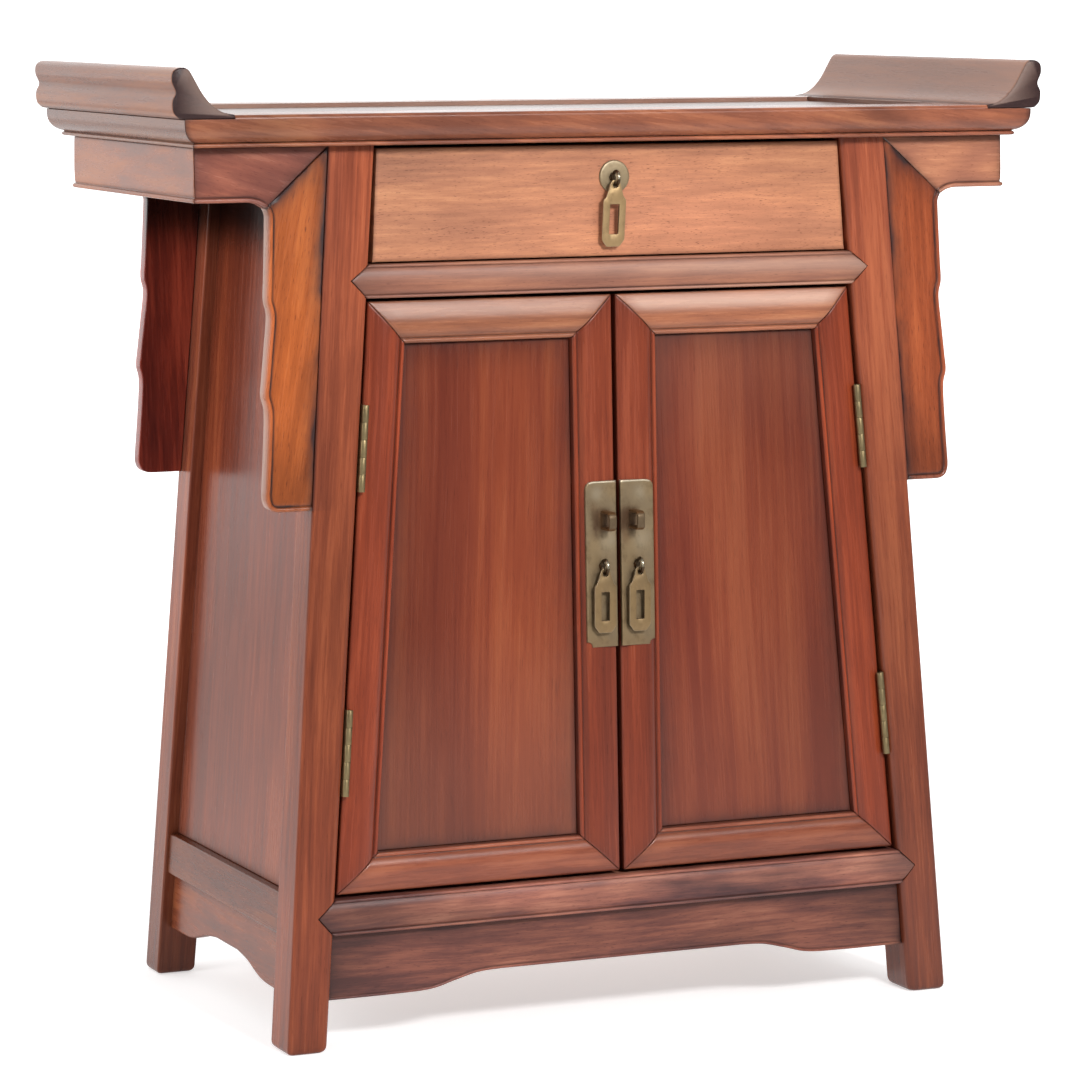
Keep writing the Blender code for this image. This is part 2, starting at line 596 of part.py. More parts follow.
for nm, s in (("left", -1), ("right", 1)):
    pivot = hinge_point(s, 390.0)
    door = hub("%s_door_axis" % nm, *pivot)
    z0, z1 = DOOR_Z
    q0, q1 = DOOR_PANEL_Z
    oh0, oh1 = (door_edge(z0), z0), (door_edge(z1), z1)
    om0, om1 = (DOOR_MEET, z0), (DOOR_MEET, z1)
    ih0, ih1 = (door_edge(q0) - STILE_W, q0), (door_edge(q1) - STILE_W, q1)
    im0, im1 = (MEET_STILE_X, q0), (MEET_STILE_X, q1)
    d0, d1 = DOOR_RECESS, DOOR_RECESS + DOOR_THICK
    for part, poly in (("hinge_stile", [oh0, oh1, ih1, ih0]), ("meeting_stile", [om0, om1, im1, im0]),
                       ("top_rail", [oh1, om1, im1, ih1]), ("bottom_rail", [oh0, om0, im0, ih0])):
        front_slab("%s_door_%s" % (nm, part), mirror(inset(poly, 0.15), s), d0, d1, FRAME_WOOD, door)
    front_slab("%s_door_panel" % nm, mirror(inset([ih0, ih1, im1, im0], 0.15), s), d0 + 7.0, d0 + 16.0,
               PANEL_WOOD, door)

    # Lock plate with a padlock staple and an eye.
    a, b = PLATE_X
    p0, p1 = PLATE_Z
    outline = [(a, p0), (b - 4.2, p0), (b - 4.2, p0 + 1.6), (b - 1.6, p0 + 4.2), (b, p0 + 4.2), (b, p1 - 5.0),
               (b - 1.6, p1 - 1.6), (b - 5.0, p1), (a, p1)]
    e1 = DOOR_RECESS - GAP
    e0 = e1 - PLATE_THICK
    plate = front_slab("%s_lock_plate" % nm, mirror(outline, s), e0, e1, BRASS, door)
    zc = (STAPLE_Z[0] + STAPLE_Z[1]) / 2
    hz = (STAPLE_Z[1] - STAPLE_Z[0]) / 2
    root, tip = face_y(zc, e0 + 0.9), face_y(zc, e0) - STAPLE_OUT
    loop = [(root, zc + hz), (tip + 4.0, zc + hz), (tip + 1.2, zc + hz - 1.2), (tip, zc + hz - 4.0),
            (tip, zc - hz + 4.0), (tip + 1.2, zc - hz + 1.2), (tip + 4.0, zc - hz), (root, zc - hz),
            (root, zc - hz + STRAP), (tip + 4.4, zc - hz + STRAP), (tip + STRAP, zc - hz + 4.4),
            (tip + STRAP, zc + hz - 4.4), (tip + 4.4, zc + hz - STRAP), (root, zc + hz - STRAP)]
    staple = loft("%s_staple" % nm, [[(s * STAPLE_X + e * STAPLE_W / 2, y, z) for y, z in loop] for e in (-1, 1)],
                  BRASS, door)
    combine(plate, staple, "UNION")
    c = (s * DOOR_EYE_X, face_y(DOOR_EYE_Z, e0) - EYE_OUT, DOOR_EYE_Z)
    eye(plate, c, face_y(DOOR_EYE_Z, (e0 + e1) / 2), door)
    pull = hub("%s_pull_axis" % nm, *c)
    drop("%s_pull_drop" % nm, c, 21.0, 350.2, 391.5, (8.8, 361.0, 387.0), pull)

    for word, z in (("lower", HINGE_LOW_Z[0]), ("upper", HINGE_LOW_Z[1])):
        hinge_pair("%s_%s" % (nm, word), s, z, door)
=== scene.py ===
# Looks of the altar cabinet: mouldings, beads, rounded arrises, wood and brass
# finishes, floor, light and camera. X runs to the right, Y to the back, Z up.
# Lengths below are in millimetres and are turned into metres in make().

import math

import bmesh
import bpy
import numpy as np
from mathutils import Matrix, Vector
from mathutils.geometry import delaunay_2d_cdt


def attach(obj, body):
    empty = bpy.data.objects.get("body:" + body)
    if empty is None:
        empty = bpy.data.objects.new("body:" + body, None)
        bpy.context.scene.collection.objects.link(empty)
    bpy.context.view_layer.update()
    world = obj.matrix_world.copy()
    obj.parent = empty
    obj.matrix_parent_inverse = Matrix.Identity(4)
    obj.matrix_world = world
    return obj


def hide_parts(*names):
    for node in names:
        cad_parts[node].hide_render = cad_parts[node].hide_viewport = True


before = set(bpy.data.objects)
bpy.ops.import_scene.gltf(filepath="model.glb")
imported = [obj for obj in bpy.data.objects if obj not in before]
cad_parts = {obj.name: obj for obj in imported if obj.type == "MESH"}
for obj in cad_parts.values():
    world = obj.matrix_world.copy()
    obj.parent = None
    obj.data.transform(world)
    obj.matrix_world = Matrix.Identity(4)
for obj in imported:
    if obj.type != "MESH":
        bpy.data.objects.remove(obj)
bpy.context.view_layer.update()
scene = bpy.context.scene
MM = 0.001

# --- Dimensions shared with the frame ------------------------------------------
CREST_Z, TOP_Z, UNDER_Z = 850.0, 810.0, 782.0
HOUSING_Z, HOUSING_X = 806.5, 360.2
TOP_HALF_X, TOP_FRONT_Y, TOP_BACK_Y, TOP_FRAME_W = 405.0, 189.7, 193.5, 62.0
DRAWER_RAIL = (650.9, 666.4, 680.2, 249.2)
BOTTOM_RAIL = (101.4, 117.6, 132.6, 291.7)
DOOR_Z = (135.5, 648.0)
PANEL_Z = (170.5, 610.5)
GAP = 0.3


def half_depth(z):
    return 165.1 + 0.0402 * (UNDER_Z - z)


def rear_depth(z):
    return 164.8 + 0.0290 * (UNDER_Z - z)


def post_out(z):
    return 267.1 + 0.0711 * (UNDER_Z - z)


def post_in(z):
    return 224.1 + 0.0788 * (UNDER_Z - z)


def post_back(z):
    return 129.1 + 0.0299 * (UNDER_Z - z)


def on_front(x, z, d):
    return (x, -(half_depth(z) - d), z)


def on_back(x, z, d):
    return (x, half_depth(z) - d, z)


def on_rear(x, z, d):
    return (x, rear_depth(z) - d, z)


def on_side(s):
    return lambda y, z, d: (s * (post_out(z) - d), y, z)


FRONT_LEAN = (0.0, 0.0402, 1.0)


# --- Small geometry helpers ------------------------------------------------------
def flip(pts, s):
    return [(s * a, b) for a, b in pts]


def curve(points, steps):
    out = []
    for i in range(len(points) - 1):
        p0 = Vector(points[max(i - 1, 0)])
        p1, p2 = Vector(points[i]), Vector(points[i + 1])
        p3 = Vector(points[min(i + 2, len(points) - 1)])
        for k in range(steps):
            t = k / steps
            q = 0.5 * (2 * p1 + (p2 - p0) * t + (2 * p0 - 5 * p1 + 4 * p2 - p3) * t * t
                       + (3 * p1 - p0 - 3 * p2 + p3) * t ** 3)
            out.append(tuple(q))
    out.append(tuple(points[-1]))
    return out


def densify(pts, step):
    out = [tuple(pts[0])]
    for a, b in zip(pts, pts[1:]):
        n = max(1, math.ceil(math.hypot(b[0] - a[0], b[1] - a[1]) / step))
        for k in range(1, n + 1):
            out.append((a[0] + (b[0] - a[0]) * k / n, a[1] + (b[1] - a[1]) * k / n))
    return out


def segments(lines):
    out = [(a, b) for pts in lines for a, b in zip(pts, pts[1:])]
    return np.array(out, float) if out else np.zeros((0, 2, 2))


def distance(pts, segs):
    pts = np.asarray(pts, float).reshape(-1, 2)
    if len(segs) == 0:
        return np.full(len(pts), 1e6)
    best = np.full(len(pts), 1e12)
    for a, b in segs:
        ab = b - a
        t = np.clip(((pts - a) @ ab) / max(float(ab @ ab), 1e-12), 0.0, 1.0)
        q = a + t[:, None] * ab
        best = np.minimum(best, ((pts - q) ** 2).sum(1))
    return np.sqrt(best)


def inside(pts, poly):
    pts = np.asarray(pts, float).reshape(-1, 2)
    res = np.zeros(len(pts), bool)
    x, y = pts[:, 0], pts[:, 1]
    for (ax, ay), (bx, by) in zip(poly, poly[1:] + poly[:1]):
        if ay == by:
            continue
        hit = ((ay > y) != (by > y)) & (x < (bx - ax) * (y - ay) / (by - ay) + ax)
        res ^= hit
    return res


def normals_of(pts, closed, sign):
    out = []
    n = len(pts)
    for i in range(n):
        a = pts[i - 1] if (i or closed) else pts[i]
        b = pts[(i + 1) % n] if (i < n - 1 or closed) else pts[i]
        t = Vector((b[0] - a[0], b[1] - a[1]))
        t = t.normalized() if t.length > 1e-9 else Vector((1.0, 0.0))
        out.append((-t.y * sign, t.x * sign))
    return out


def make(name, verts, faces, mat, body, node=None, grain=(0, 0, 1), face=(0, -1, 0), attrs=None,
         sharp=36.0):
    # One piece. Its grain coordinates have Z along the fibres and Y out of the face.
    P = np.array(verts, float)
    origin = Vector((P.min(0) + P.max(0)) / 2)
    z = Vector(grain).normalized()
    y = Vector(face)
    y = (y - z * y.dot(z)).normalized()
    lie = Matrix((y.cross(z), y, z))
    bm = bmesh.new()
    attrs = attrs or {}
    # Per-vertex marks: dark deposits, in places painted shadow and shade; rubbed edges, in places painted highlights;
    # lightness, in places painted light and shade; and a mix that paints sheen, reflection and shadow.
    layers = {k: bm.verts.layers.float.new(k) for k in ("patina_and_shade", "wear_and_highlight", "tone", "painted_sheen_and_shade")}
    along = bm.verts.layers.float_vector.new("grain")
    for i, v in enumerate(verts):
        p = (Vector(v) - origin) * MM
        b = bm.verts.new(p)
        b[along] = lie @ p
        for k, layer in layers.items():
            b[layer] = float(attrs[k][i]) if k in attrs else (1.0 if k == "tone" else 0.0)
    bm.verts.ensure_lookup_table()
    for f in faces:
        try:
            bm.faces.new([bm.verts[i] for i in f])
        except ValueError:
            pass
    bmesh.ops.remove_doubles(bm, verts=bm.verts[:], dist=2e-6)
    bmesh.ops.dissolve_degenerate(bm, edges=bm.edges[:], dist=1e-6)
    bmesh.ops.recalc_face_normals(bm, faces=bm.faces[:])
    mesh = bpy.data.meshes.new(name)
    bm.to_mesh(mesh)
    bm.free()
    mesh.shade_smooth()
    mesh.set_sharp_from_angle(angle=math.radians(sharp))
    mesh.materials.append(mat)
    ob = bpy.data.objects.new(name, mesh)
    scene.collection.objects.link(ob)
    ob.matrix_world = Matrix.Translation(origin * MM)
    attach(ob, body)
    if node:
        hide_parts(node)
    return ob


def join(*parts):
    # Several closed shells in one piece: each part is (verts, faces, attrs).
    verts, faces, attrs = [], [], {"patina_and_shade": [], "wear_and_highlight": [], "tone": [], "painted_sheen_and_shade": []}
    for v, f, a in parts:
        base = len(verts)
        verts += list(v)
        faces += [tuple(i + base for i in q) for q in f]
        for k in attrs:
            attrs[k] += list(a[k]) if a and k in a else [1.0 if k == "tone" else 0.0] * len(v)
    return verts, faces, attrs


def loops(rows, closed=True, caps=True):
    # A solid through rows of points with equal counts.
    n = len(rows[0])
    verts = [p for r in rows for p in r]
    faces = []
    for k in range(len(rows) - 1):
        for i in range(n if closed else n - 1):
            j = (i + 1) % n
            faces.append((k * n + i, k * n + j, (k + 1) * n + j, (k + 1) * n + i))
    if caps:
        faces.append(tuple(range(n)))
        faces.append(tuple(range((len(rows) - 1) * n, len(rows) * n)))
    return verts, faces


def blobs(u, w, spots):
    t = np.ones(len(u))
    for u0, w0, ru, rw, f in spots:
        t *= 1.0 + (f - 1.0) * np.exp(-((u - u0) / ru) ** 2 - ((w - w0) / rw) ** 2)
    return t


# Bead that follows the free edge of the hanging boards: (distance in from the
# edge, height over the face).
BEAD = [(0.0, -2.2), (0.15, -1.5), (0.45, -0.85), (0.9, -0.35), (1.5, -0.05), (2.2, 0.0), (2.9, -0.12), (3.5, -0.5),
        (3.95, -1.05), (4.3, -1.75), (4.8, -2.0), (5.5, -1.85), (6.6, -1.6), (8.6, -1.42), (12.0, -1.35)]
FINE_BEAD = [(0.0, -1.3), (0.2, -0.7), (0.6, -0.25), (1.2, 0.0), (1.8, -0.1), (2.3, -0.45), (2.7, -1.0), (3.3, -1.15),
             (4.4, -0.95), (7.0, -0.85)]
ROUND = [(0.0, -1.6), (0.2, -0.95), (0.6, -0.42), (1.2, -0.1), (2.0, 0.0), (4.5, 0.0)]
FLAT = [(0.0, -0.7), (0.25, -0.25), (0.8, 0.0), (3.0, 0.0)]


def relief(chains, profile, place, d_face, d_back, grid=9.0, spots=(), dark=1.0, groove=None, rim=0.0, shape=None,
           chamfer=0.5, inset_back=0.7, soft=5.0, painted_sheen_and_shade=(0.0, 0.0)):
    # A board whose face is moulded along its free edges. chains run round the
    # outline: ("free" or "seam", points).
    offs = [d for d, h in profile if d > 0]
    loop_pts = [list(map(tuple, pts)) for kind, pts in chains]
    whole = [p for pts in loop_pts for p in pts[:-1]]
    area = sum(a[0] * b[1] - b[0] * a[1] for a, b in zip(whole, whole[1:] + whole[:1]))
    sign = 1.0 if area > 0 else -1.0
    kinds = [k for k, p in chains]
    m = len(chains)
    dense = []
    for i, pts in enumerate(loop_pts):
        if kinds[i] == "free":
            dense.append(densify(pts, 2.4))
            continue
        length = [0.0]
        for a, b in zip(pts, pts[1:]):
            length.append(length[-1] + math.hypot(b[0] - a[0], b[1] - a[1]))
        total = length[-1]
        want = {0.0, total} | set(length)
        k = max(1, round(total / 6.0))
        want |= {total * j / k for j in range(k + 1)}
        for near, other, at_start in ((kinds[i - 1], loop_pts[i - 1], True), (kinds[(i + 1) % m], loop_pts[(i + 1) % m], False)):
            if near != "free" or total < 1.0:
                continue
            e = Vector(pts[1]) - Vector(pts[0]) if at_start else Vector(pts[-2]) - Vector(pts[-1])
            t = Vector(other[-2]) - Vector(other[-1]) if at_start else Vector(other[1]) - Vector(other[0])
            e.normalize()
            t.normalize()
            sn = max(0.25, abs(e.x * t.y - e.y * t.x))
            for d in offs:
                q = d / sn
                if q < total * 0.5:
                    want.add(q if at_start else total - q)
        want = sorted(want)
        keep = [want[0]]
        for q in want[1:]:
            if q - keep[-1] > 0.12:
                keep.append(q)
        keep[-1] = total
        out = []
        for q in keep:
            for j in range(len(pts) - 1):
                if q <= length[j + 1] + 1e-9:
                    f = (q - length[j]) / max(1e-9, length[j + 1] - length[j])
                    out.append((pts[j][0] + (pts[j + 1][0] - pts[j][0]) * f,
                                pts[j][1] + (pts[j + 1][1] - pts[j][1]) * f))
                    break
        dense.append(out)
    free = segments([p for k, p in zip(kinds, dense) if k == "free"])
    seam = segments([[p[0], p[-1]] if len(q) == 2 else p for k, p, q in zip(kinds, dense, loop_pts) if k == "seam"])
    poly = [p for pts in dense for p in pts[:-1]]
    extra = []
    last = offs[-1] if len(free) else 0.0
    for k, pts in zip(kinds, dense):
        nrm = normals_of(pts, False, sign)
        if k == "free":
            for d in offs:
                q = [(p[0] + n[0] * d, p[1] + n[1] * d) for p, n in zip(pts[1:-1], nrm[1:-1])]
                if q:
                    ok = (distance(q, free) > d - 0.04 - 0.02 * d) & (distance(q, seam) > 0.45) & inside(q, poly)
                    extra += [p for p, good in zip(q, ok) if good]
        else:
            for d in (0.6, 2.0, 5.0):
                q = [(p[0] + n[0] * d, p[1] + n[1] * d) for p, n in zip(pts[1:-1], nrm[1:-1])]
                if q:
                    ok = (distance(q, seam) > d - 0.04) & (distance(q, free) > last + 1.0) & inside(q, poly)
                    extra += [p for p, good in zip(q, ok) if good]
    P = np.array(poly)
    (u0, w0), (u1, w1) = P.min(0), P.max(0)
    g = []
    rows = max(1, int((w1 - w0) / (grid * 0.87)))
    for r in range(1, rows):
        w = w0 + (w1 - w0) * r / rows
        cols = max(1, int((u1 - u0) / grid))
        for c in range(cols + 1):
            g.append((u0 + (u1 - u0) * (c + (0.5 if r % 2 else 0.0)) / cols, w))
    if g:
        ok = inside(g, poly) & (distance(g, free) > last + grid * 0.4) & (distance(g, seam) > 5.0 + grid * 0.3)
        extra += [p for p, good in zip(g, ok) if good]
    n = len(poly)
    out = delaunay_2d_cdt([Vector(p) for p in poly + extra], [(i, (i + 1) % n) for i in range(n)],
                          [list(range(n))], 1, 1e-4, True)
    flat = np.array([(p.x, p.y) for p in out[0]], float)
    where = {}
    for k, src in enumerate(out[3]):
        for i in src:
            where[i] = k
    df, ds = distance(flat, free), distance(flat, seam)
    pd, ph = [p[0] for p in profile], [p[1] for p in profile]
    if len(free):
        h = np.interp(df, pd, ph)
    else:
        h = np.zeros(len(flat))
    h = h - chamfer * np.clip(1.0 - ds / 0.6, 0.0, 1.0)
    if shape:
        h = h + np.array([shape(a, b) for a, b in flat])
    verts = [place(a, b, d_face - hh) for (a, b), hh in zip(flat, h)]
    pat = dark * np.exp(-ds / soft) * 0.9
    if groove and len(free):
        pat = np.maximum(pat, groove[2] * np.exp(-((df - groove[0]) / groove[1]) ** 2))
    wear_and_highlight = rim * np.exp(-((df - 1.8) / 1.3) ** 2) if rim and len(free) else np.zeros(len(flat))
    tone = blobs(flat[:, 0], flat[:, 1], spots)
    tris = [tuple(f) for f in out[2]]
    ok = inside([flat[list(f)].mean(0) for f in tris], poly)
    faces = [f for f, good in zip(tris, ok) if good]
    ring = [where[i] for i in range(n)]
    nrm = normals_of(poly, True, sign)
    r1, r2 = len(verts), len(verts) + n
    verts += [place(p[0], p[1], d_back - inset_back) for p in poly]
    verts += [place(p[0] + q[0] * inset_back, p[1] + q[1] * inset_back, d_back) for p, q in zip(poly, nrm)]
    for i in range(n):
        j = (i + 1) % n
        faces.append((ring[i], ring[j], r1 + j, r1 + i))
        faces.append((r1 + i, r1 + j, r2 + j, r2 + i))
    rim2 = [Vector((p[0] + q[0] * inset_back, p[1] + q[1] * inset_back)) for p, q in zip(poly, nrm)]
    fill = delaunay_2d_cdt(rim2, [(i, (i + 1) % n) for i in range(n)], [list(range(n))], 1, 1e-4, True)
    back = np.array([(p.x, p.y) for p in fill[0]], float)
    ok = inside([back[list(f)].mean(0) for f in fill[2]], [tuple(p) for p in rim2])
    for f, good in zip(fill[2], ok):
        tri = [fill[3][i] for i in f]
        if good and all(tri):
            faces.append(tuple(r2 + q[0] for q in tri))
    edge = [0.15] * (2 * n)
    return verts, faces, {"patina_and_shade": list(pat) + edge, "wear_and_highlight": list(wear_and_highlight) + [0.0] * (2 * n),
                          "tone": list(tone) + [float(tone[k]) for k in ring] * 2,
                          "painted_sheen_and_shade": list(painted_sheen_and_shade[0] * np.exp(-df / 1.5)) + [painted_sheen_and_shade[1]] * n + [0.0] * n}


# --- Materials ----------------------------------------------------------------------
class Tree:
    def __init__(self, name):
        self.mat = bpy.data.materials.new(name)
        self.mat.use_nodes = True
        self.nt = self.mat.node_tree
        self.bsdf = self.nt.nodes["Principled BSDF"]

    def add(self, kind, **props):
        n = self.nt.nodes.new(kind)
        for k, v in props.items():
            setattr(n, k, v)
        return n

    def link(self, a, b):
        self.nt.links.new(a, b)

    def put(self, socket, value):
        if hasattr(value, "is_output"):
            self.link(value, socket)
        else:
            socket.default_value = value

    def math(self, op, a, b=0.0, c=0.0, clamp=False):
        n = self.add("ShaderNodeMath", operation=op, use_clamp=clamp)
        for s, v in zip(n.inputs, (a, b, c)):
            self.put(s, v)
        return n.outputs[0]

    def scaled(self, vec, scale):
        n = self.add("ShaderNodeVectorMath", operation="MULTIPLY")
        self.link(vec, n.inputs[0])
        n.inputs[1].default_value = scale
        return n.outputs[0]

    def noise(self, vec, scale=(1, 1, 1), detail=2.0, rough=0.55, distort=0.0):
        n = self.add("ShaderNodeTexNoise", noise_dimensions="3D")
        self.link(self.scaled(vec, scale), n.inputs["Vector"])
        n.inputs["Scale"].default_value = 1.0
        n.inputs["Detail"].default_value = detail
        n.inputs["Roughness"].default_value = rough
        n.inputs["Distortion"].default_value = distort
        return n.outputs["Fac"]

    def span(self, value, a, b, lo=0.0, hi=1.0, smooth=False):
        n = self.add("ShaderNodeMapRange", interpolation_type="SMOOTHSTEP" if smooth else "LINEAR")
        self.link(value, n.inputs["Value"])
        for k, v in (("From Min", a), ("From Max", b), ("To Min", lo), ("To Max", hi)):
            n.inputs[k].default_value = v
        return n.outputs["Result"]

    def mix(self, fac, a, b, blend="MIX"):
        n = self.add("ShaderNodeMix", data_type="RGBA", blend_type=blend)
        self.put(n.inputs["Factor"], fac)
        sa = [s for s in n.inputs if s.name == "A" and s.type == "RGBA"][0]
        sb = [s for s in n.inputs if s.name == "B" and s.type == "RGBA"][0]
        for s, v in ((sa, a), (sb, b)):
            if hasattr(v, "is_output"):
                self.link(v, s)
            else:
                s.default_value = (*v, 1.0)
        return [s for s in n.outputs if s.type == "RGBA"][0]

    def attribute(self, name):
        return self.add("ShaderNodeAttribute", attribute_name=name).outputs["Fac"]


def wood(name, tones, seed, band=20.0, fine=130.0, along=1.5, warp=0.010, weights=(0.5, 0.3, 0.08, 0.25), ring=0.0,
         ring_scale=9.0, ring_at=(0.05, 0.09), ring_tilt=(0.12, 0.05), rough=(0.20, 0.31), pore=0.45,
         patina_and_shade=(0.030, 0.010, 0.009), attr=True, bump=0.10, turn=(0.0, 0.0, 0.0), stops=(0.30, 0.45, 0.57, 0.72),
         mottle=6.0, blotch=(0.45, 1.25), pale=(0.36, 0.235, 0.185), ior=1.38):
    # Polished hardwood: wavy bands, fine streaks, fibres and pores along the
    # piece's own Z, slow mottling, growth rings where they show, dark deposits in grooves and joints (in places painted
    # shade), brighter rubbed edges, a per-vertex lightness that in places paints light and shade, and a pale mix that
    # paints sheen and reflection.
    t = Tree(name)
    mp = t.add("ShaderNodeMapping")
    if attr:
        t.link(t.add("ShaderNodeAttribute", attribute_name="grain").outputs["Vector"], mp.inputs["Vector"])
    else:
        t.link(t.add("ShaderNodeTexCoord").outputs["Object"], mp.inputs["Vector"])
    mp.inputs["Location"].default_value = (0.37 * seed + 0.11, 0.53 * seed - 0.2, 0.71 * seed + 0.05)
    mp.inputs["Rotation"].default_value = turn
    base = mp.outputs["Vector"]
    wv = t.add("ShaderNodeTexNoise", noise_dimensions="3D")
    t.link(t.scaled(base, (6.0, 6.0, 2.2)), wv.inputs["Vector"])
    wv.inputs["Scale"].default_value = 1.0
    wv.inputs["Detail"].default_value = 2.0
    off = t.add("ShaderNodeVectorMath", operation="SUBTRACT")
    t.link(wv.outputs["Color"], off.inputs[0])
    off.inputs[1].default_value = (0.5, 0.5, 0.5)
    bent = t.add("ShaderNodeVectorMath", operation="MULTIPLY_ADD")
    t.link(off.outputs[0], bent.inputs[0])
    bent.inputs[1].default_value = (warp * 2.0, warp * 2.0, 0.0)
    t.link(base, bent.inputs[2])
    vec = bent.outputs[0]
    a = t.span(t.noise(vec, (band, band * 0.7, along * 0.55), 3.0, 0.6), 0.28, 0.72)
    b = t.span(t.noise(vec, (fine, fine * 0.6, along * 2.2), 3.0, 0.62), 0.27, 0.73)
    c = t.noise(vec, (fine * 5.0, fine * 3.5, along * 13.0), 2.0, 0.6)
    d = t.span(t.noise(base, (mottle, mottle, mottle * 0.42), 3.0, 0.6), 0.28, 0.72)
    wa, wb, wc, wd = weights
    total = wa + wb + wc + wd + ring
    f = t.math("MULTIPLY", a, wa / total)
    f = t.math("MULTIPLY_ADD", b, wb / total, f)
    f = t.math("MULTIPLY_ADD", c, wc / total, f)
    f = t.math("MULTIPLY_ADD", d, wd / total, f)
    if ring > 0.0:
        rm = t.add("ShaderNodeMapping")
        t.link(vec, rm.inputs["Vector"])
        s = Vector((0.37 * seed + 0.11, 0.53 * seed - 0.2, 0.71 * seed + 0.05))
        turned = Matrix.Rotation(ring_tilt[1], 3, "Y") @ Matrix.Rotation(ring_tilt[0], 3, "X") @ s
        rm.inputs["Rotation"].default_value = (ring_tilt[0], ring_tilt[1], 0.0)
        rm.inputs["Location"].default_value = (ring_at[0] - turned.x, ring_at[1] - turned.y, -turned.z)
        wave = t.add("ShaderNodeTexWave", wave_type="RINGS", rings_direction="Z", wave_profile="SIN")
        t.link(rm.outputs["Vector"], wave.inputs["Vector"])
        wave.inputs["Scale"].default_value = ring_scale
        wave.inputs["Distortion"].default_value = 2.2
        wave.inputs["Detail"].default_value = 2.5
        wave.inputs["Detail Scale"].default_value = 1.6
        f = t.math("MULTIPLY_ADD", wave.outputs["Fac"], ring / total, f)
    ramp = t.add("ShaderNodeValToRGB")
    t.link(f, ramp.inputs["Fac"])
    el = ramp.color_ramp.elements
    while len(el) < len(tones):
        el.new(0.5)
    for e, pos, rgb in zip(el, stops, tones):
        e.position = pos
        e.color = (*rgb, 1.0)
    col = ramp.outputs["Color"]
    pores = t.span(t.noise(vec, (fine * 7.0, fine * 5.0, along * 24.0), 2.0, 0.5), 0.60, 0.74, smooth=True)
    col = t.mix(t.math("MULTIPLY", pores, pore), col, t.mix(1.0, col, (0.34, 0.26, 0.26), "MULTIPLY"))
    rg = t.span(t.math("ADD", b, d), 0.5, 1.5, rough[0], rough[1])
    if attr:
        pn = t.span(t.noise(base, (46.0, 46.0, 16.0), 3.0, 0.6), 0.25, 0.75, *blotch)
        pf = t.math("MULTIPLY", t.attribute("patina_and_shade"), pn, clamp=True)
        col = t.mix(pf, col, patina_and_shade)
        col = t.mix(t.math("MULTIPLY", t.attribute("wear_and_highlight"), 0.5, clamp=True), col,
                    t.mix(1.0, col, (1.5, 1.42, 1.35), "MULTIPLY"))
        # Per-vertex lightness, in places painted light and shade; then the pale mix, a painted sheen and reflection.
        col = t.mix(1.0, col, t.attribute("tone"), "MULTIPLY")
        col = t.mix(t.math("MULTIPLY", t.attribute("painted_sheen_and_shade"), t.span(d, 0.0, 1.0, 0.6, 1.0), clamp=True), col, pale)
        rg = t.math("MULTIPLY_ADD", pf, 0.10, rg)
    t.link(col, t.bsdf.inputs["Base Color"])
    t.link(rg, t.bsdf.inputs["Roughness"])
    t.bsdf.inputs["IOR"].default_value = ior
    if bump > 0.0:
        hgt = t.math("MULTIPLY_ADD", b, 0.5, t.math("MULTIPLY", c, 0.6))
        hgt = t.math("MULTIPLY_ADD", pores, -0.7, hgt)
        bp = t.add("ShaderNodeBump")
        bp.inputs["Strength"].default_value = bump
        bp.inputs["Distance"].default_value = 0.0006
        t.link(hgt, bp.inputs["Height"])
        t.link(bp.outputs["Normal"], t.bsdf.inputs["Normal"])
    return t.mat


def brass(name, bright, olive, brown, seed, rough=(0.36, 0.50), blot=0.5, metal=1.0, grime_and_shade=(0.040, 0.017, 0.006)):
    # Aged brass: satin, with olive and brown deposits and fine scratches.
    t = Tree(name)
    tc = t.add("ShaderNodeTexCoord")
    mp = t.add("ShaderNodeMapping")
    t.link(tc.outputs["Object"], mp.inputs["Vector"])
    mp.inputs["Location"].default_value = (0.31 * seed, 0.17 * seed, 0.23 * seed)
    v = mp.outputs["Vector"]
    big = t.span(t.noise(v, (42.0, 42.0, 30.0), 4.0, 0.6), 0.32, 0.68, smooth=True)
    mid = t.span(t.noise(v, (150.0, 150.0, 110.0), 4.0, 0.65), 0.45, 0.78, smooth=True)
    fine = t.noise(v, (2600.0, 900.0, 500.0), 2.0, 0.6)
    col = t.mix(big, bright, olive)
    col = t.mix(t.math("MULTIPLY", mid, blot), col, brown)
    # Dark mix: tarnish in hollows, and painted shadow and shade on the lock plates and the eyes.
    pf = t.math("MULTIPLY", t.attribute("patina_and_shade"), t.span(mid, 0.0, 1.0, 0.96, 1.2), clamp=True)
    col = t.mix(pf, col, grime_and_shade)
    # Copper-brown mix: painted shadow beside the staples.
    col = t.mix(t.math("MULTIPLY", t.attribute("painted_sheen_and_shade"), t.span(mid, 0.0, 1.0, 1.0, 0.7), clamp=True), col, (0.115, 0.050, 0.016))
    # Pale mix: rubbed edges, and painted highlights on top edges and the eyes' fronts.
    col = t.mix(t.math("MULTIPLY", t.attribute("wear_and_highlight"), 0.6, clamp=True), col, (0.48, 0.44, 0.34))
    t.link(col, t.bsdf.inputs["Base Color"])
    t.bsdf.inputs["Metallic"].default_value = metal
    rg = t.span(t.math("ADD", big, fine), 0.4, 1.6, rough[0], rough[1])
    t.link(t.math("MULTIPLY_ADD", pf, 0.18, rg), t.bsdf.inputs["Roughness"])
    bp = t.add("ShaderNodeBump")
    bp.inputs["Strength"].default_value = 0.12
    bp.inputs["Distance"].default_value = 0.0003
    t.link(t.math("MULTIPLY_ADD", mid, -0.6, fine), bp.inputs["Height"])
    t.link(bp.outputs["Normal"], t.bsdf.inputs["Normal"])
    return t.mat


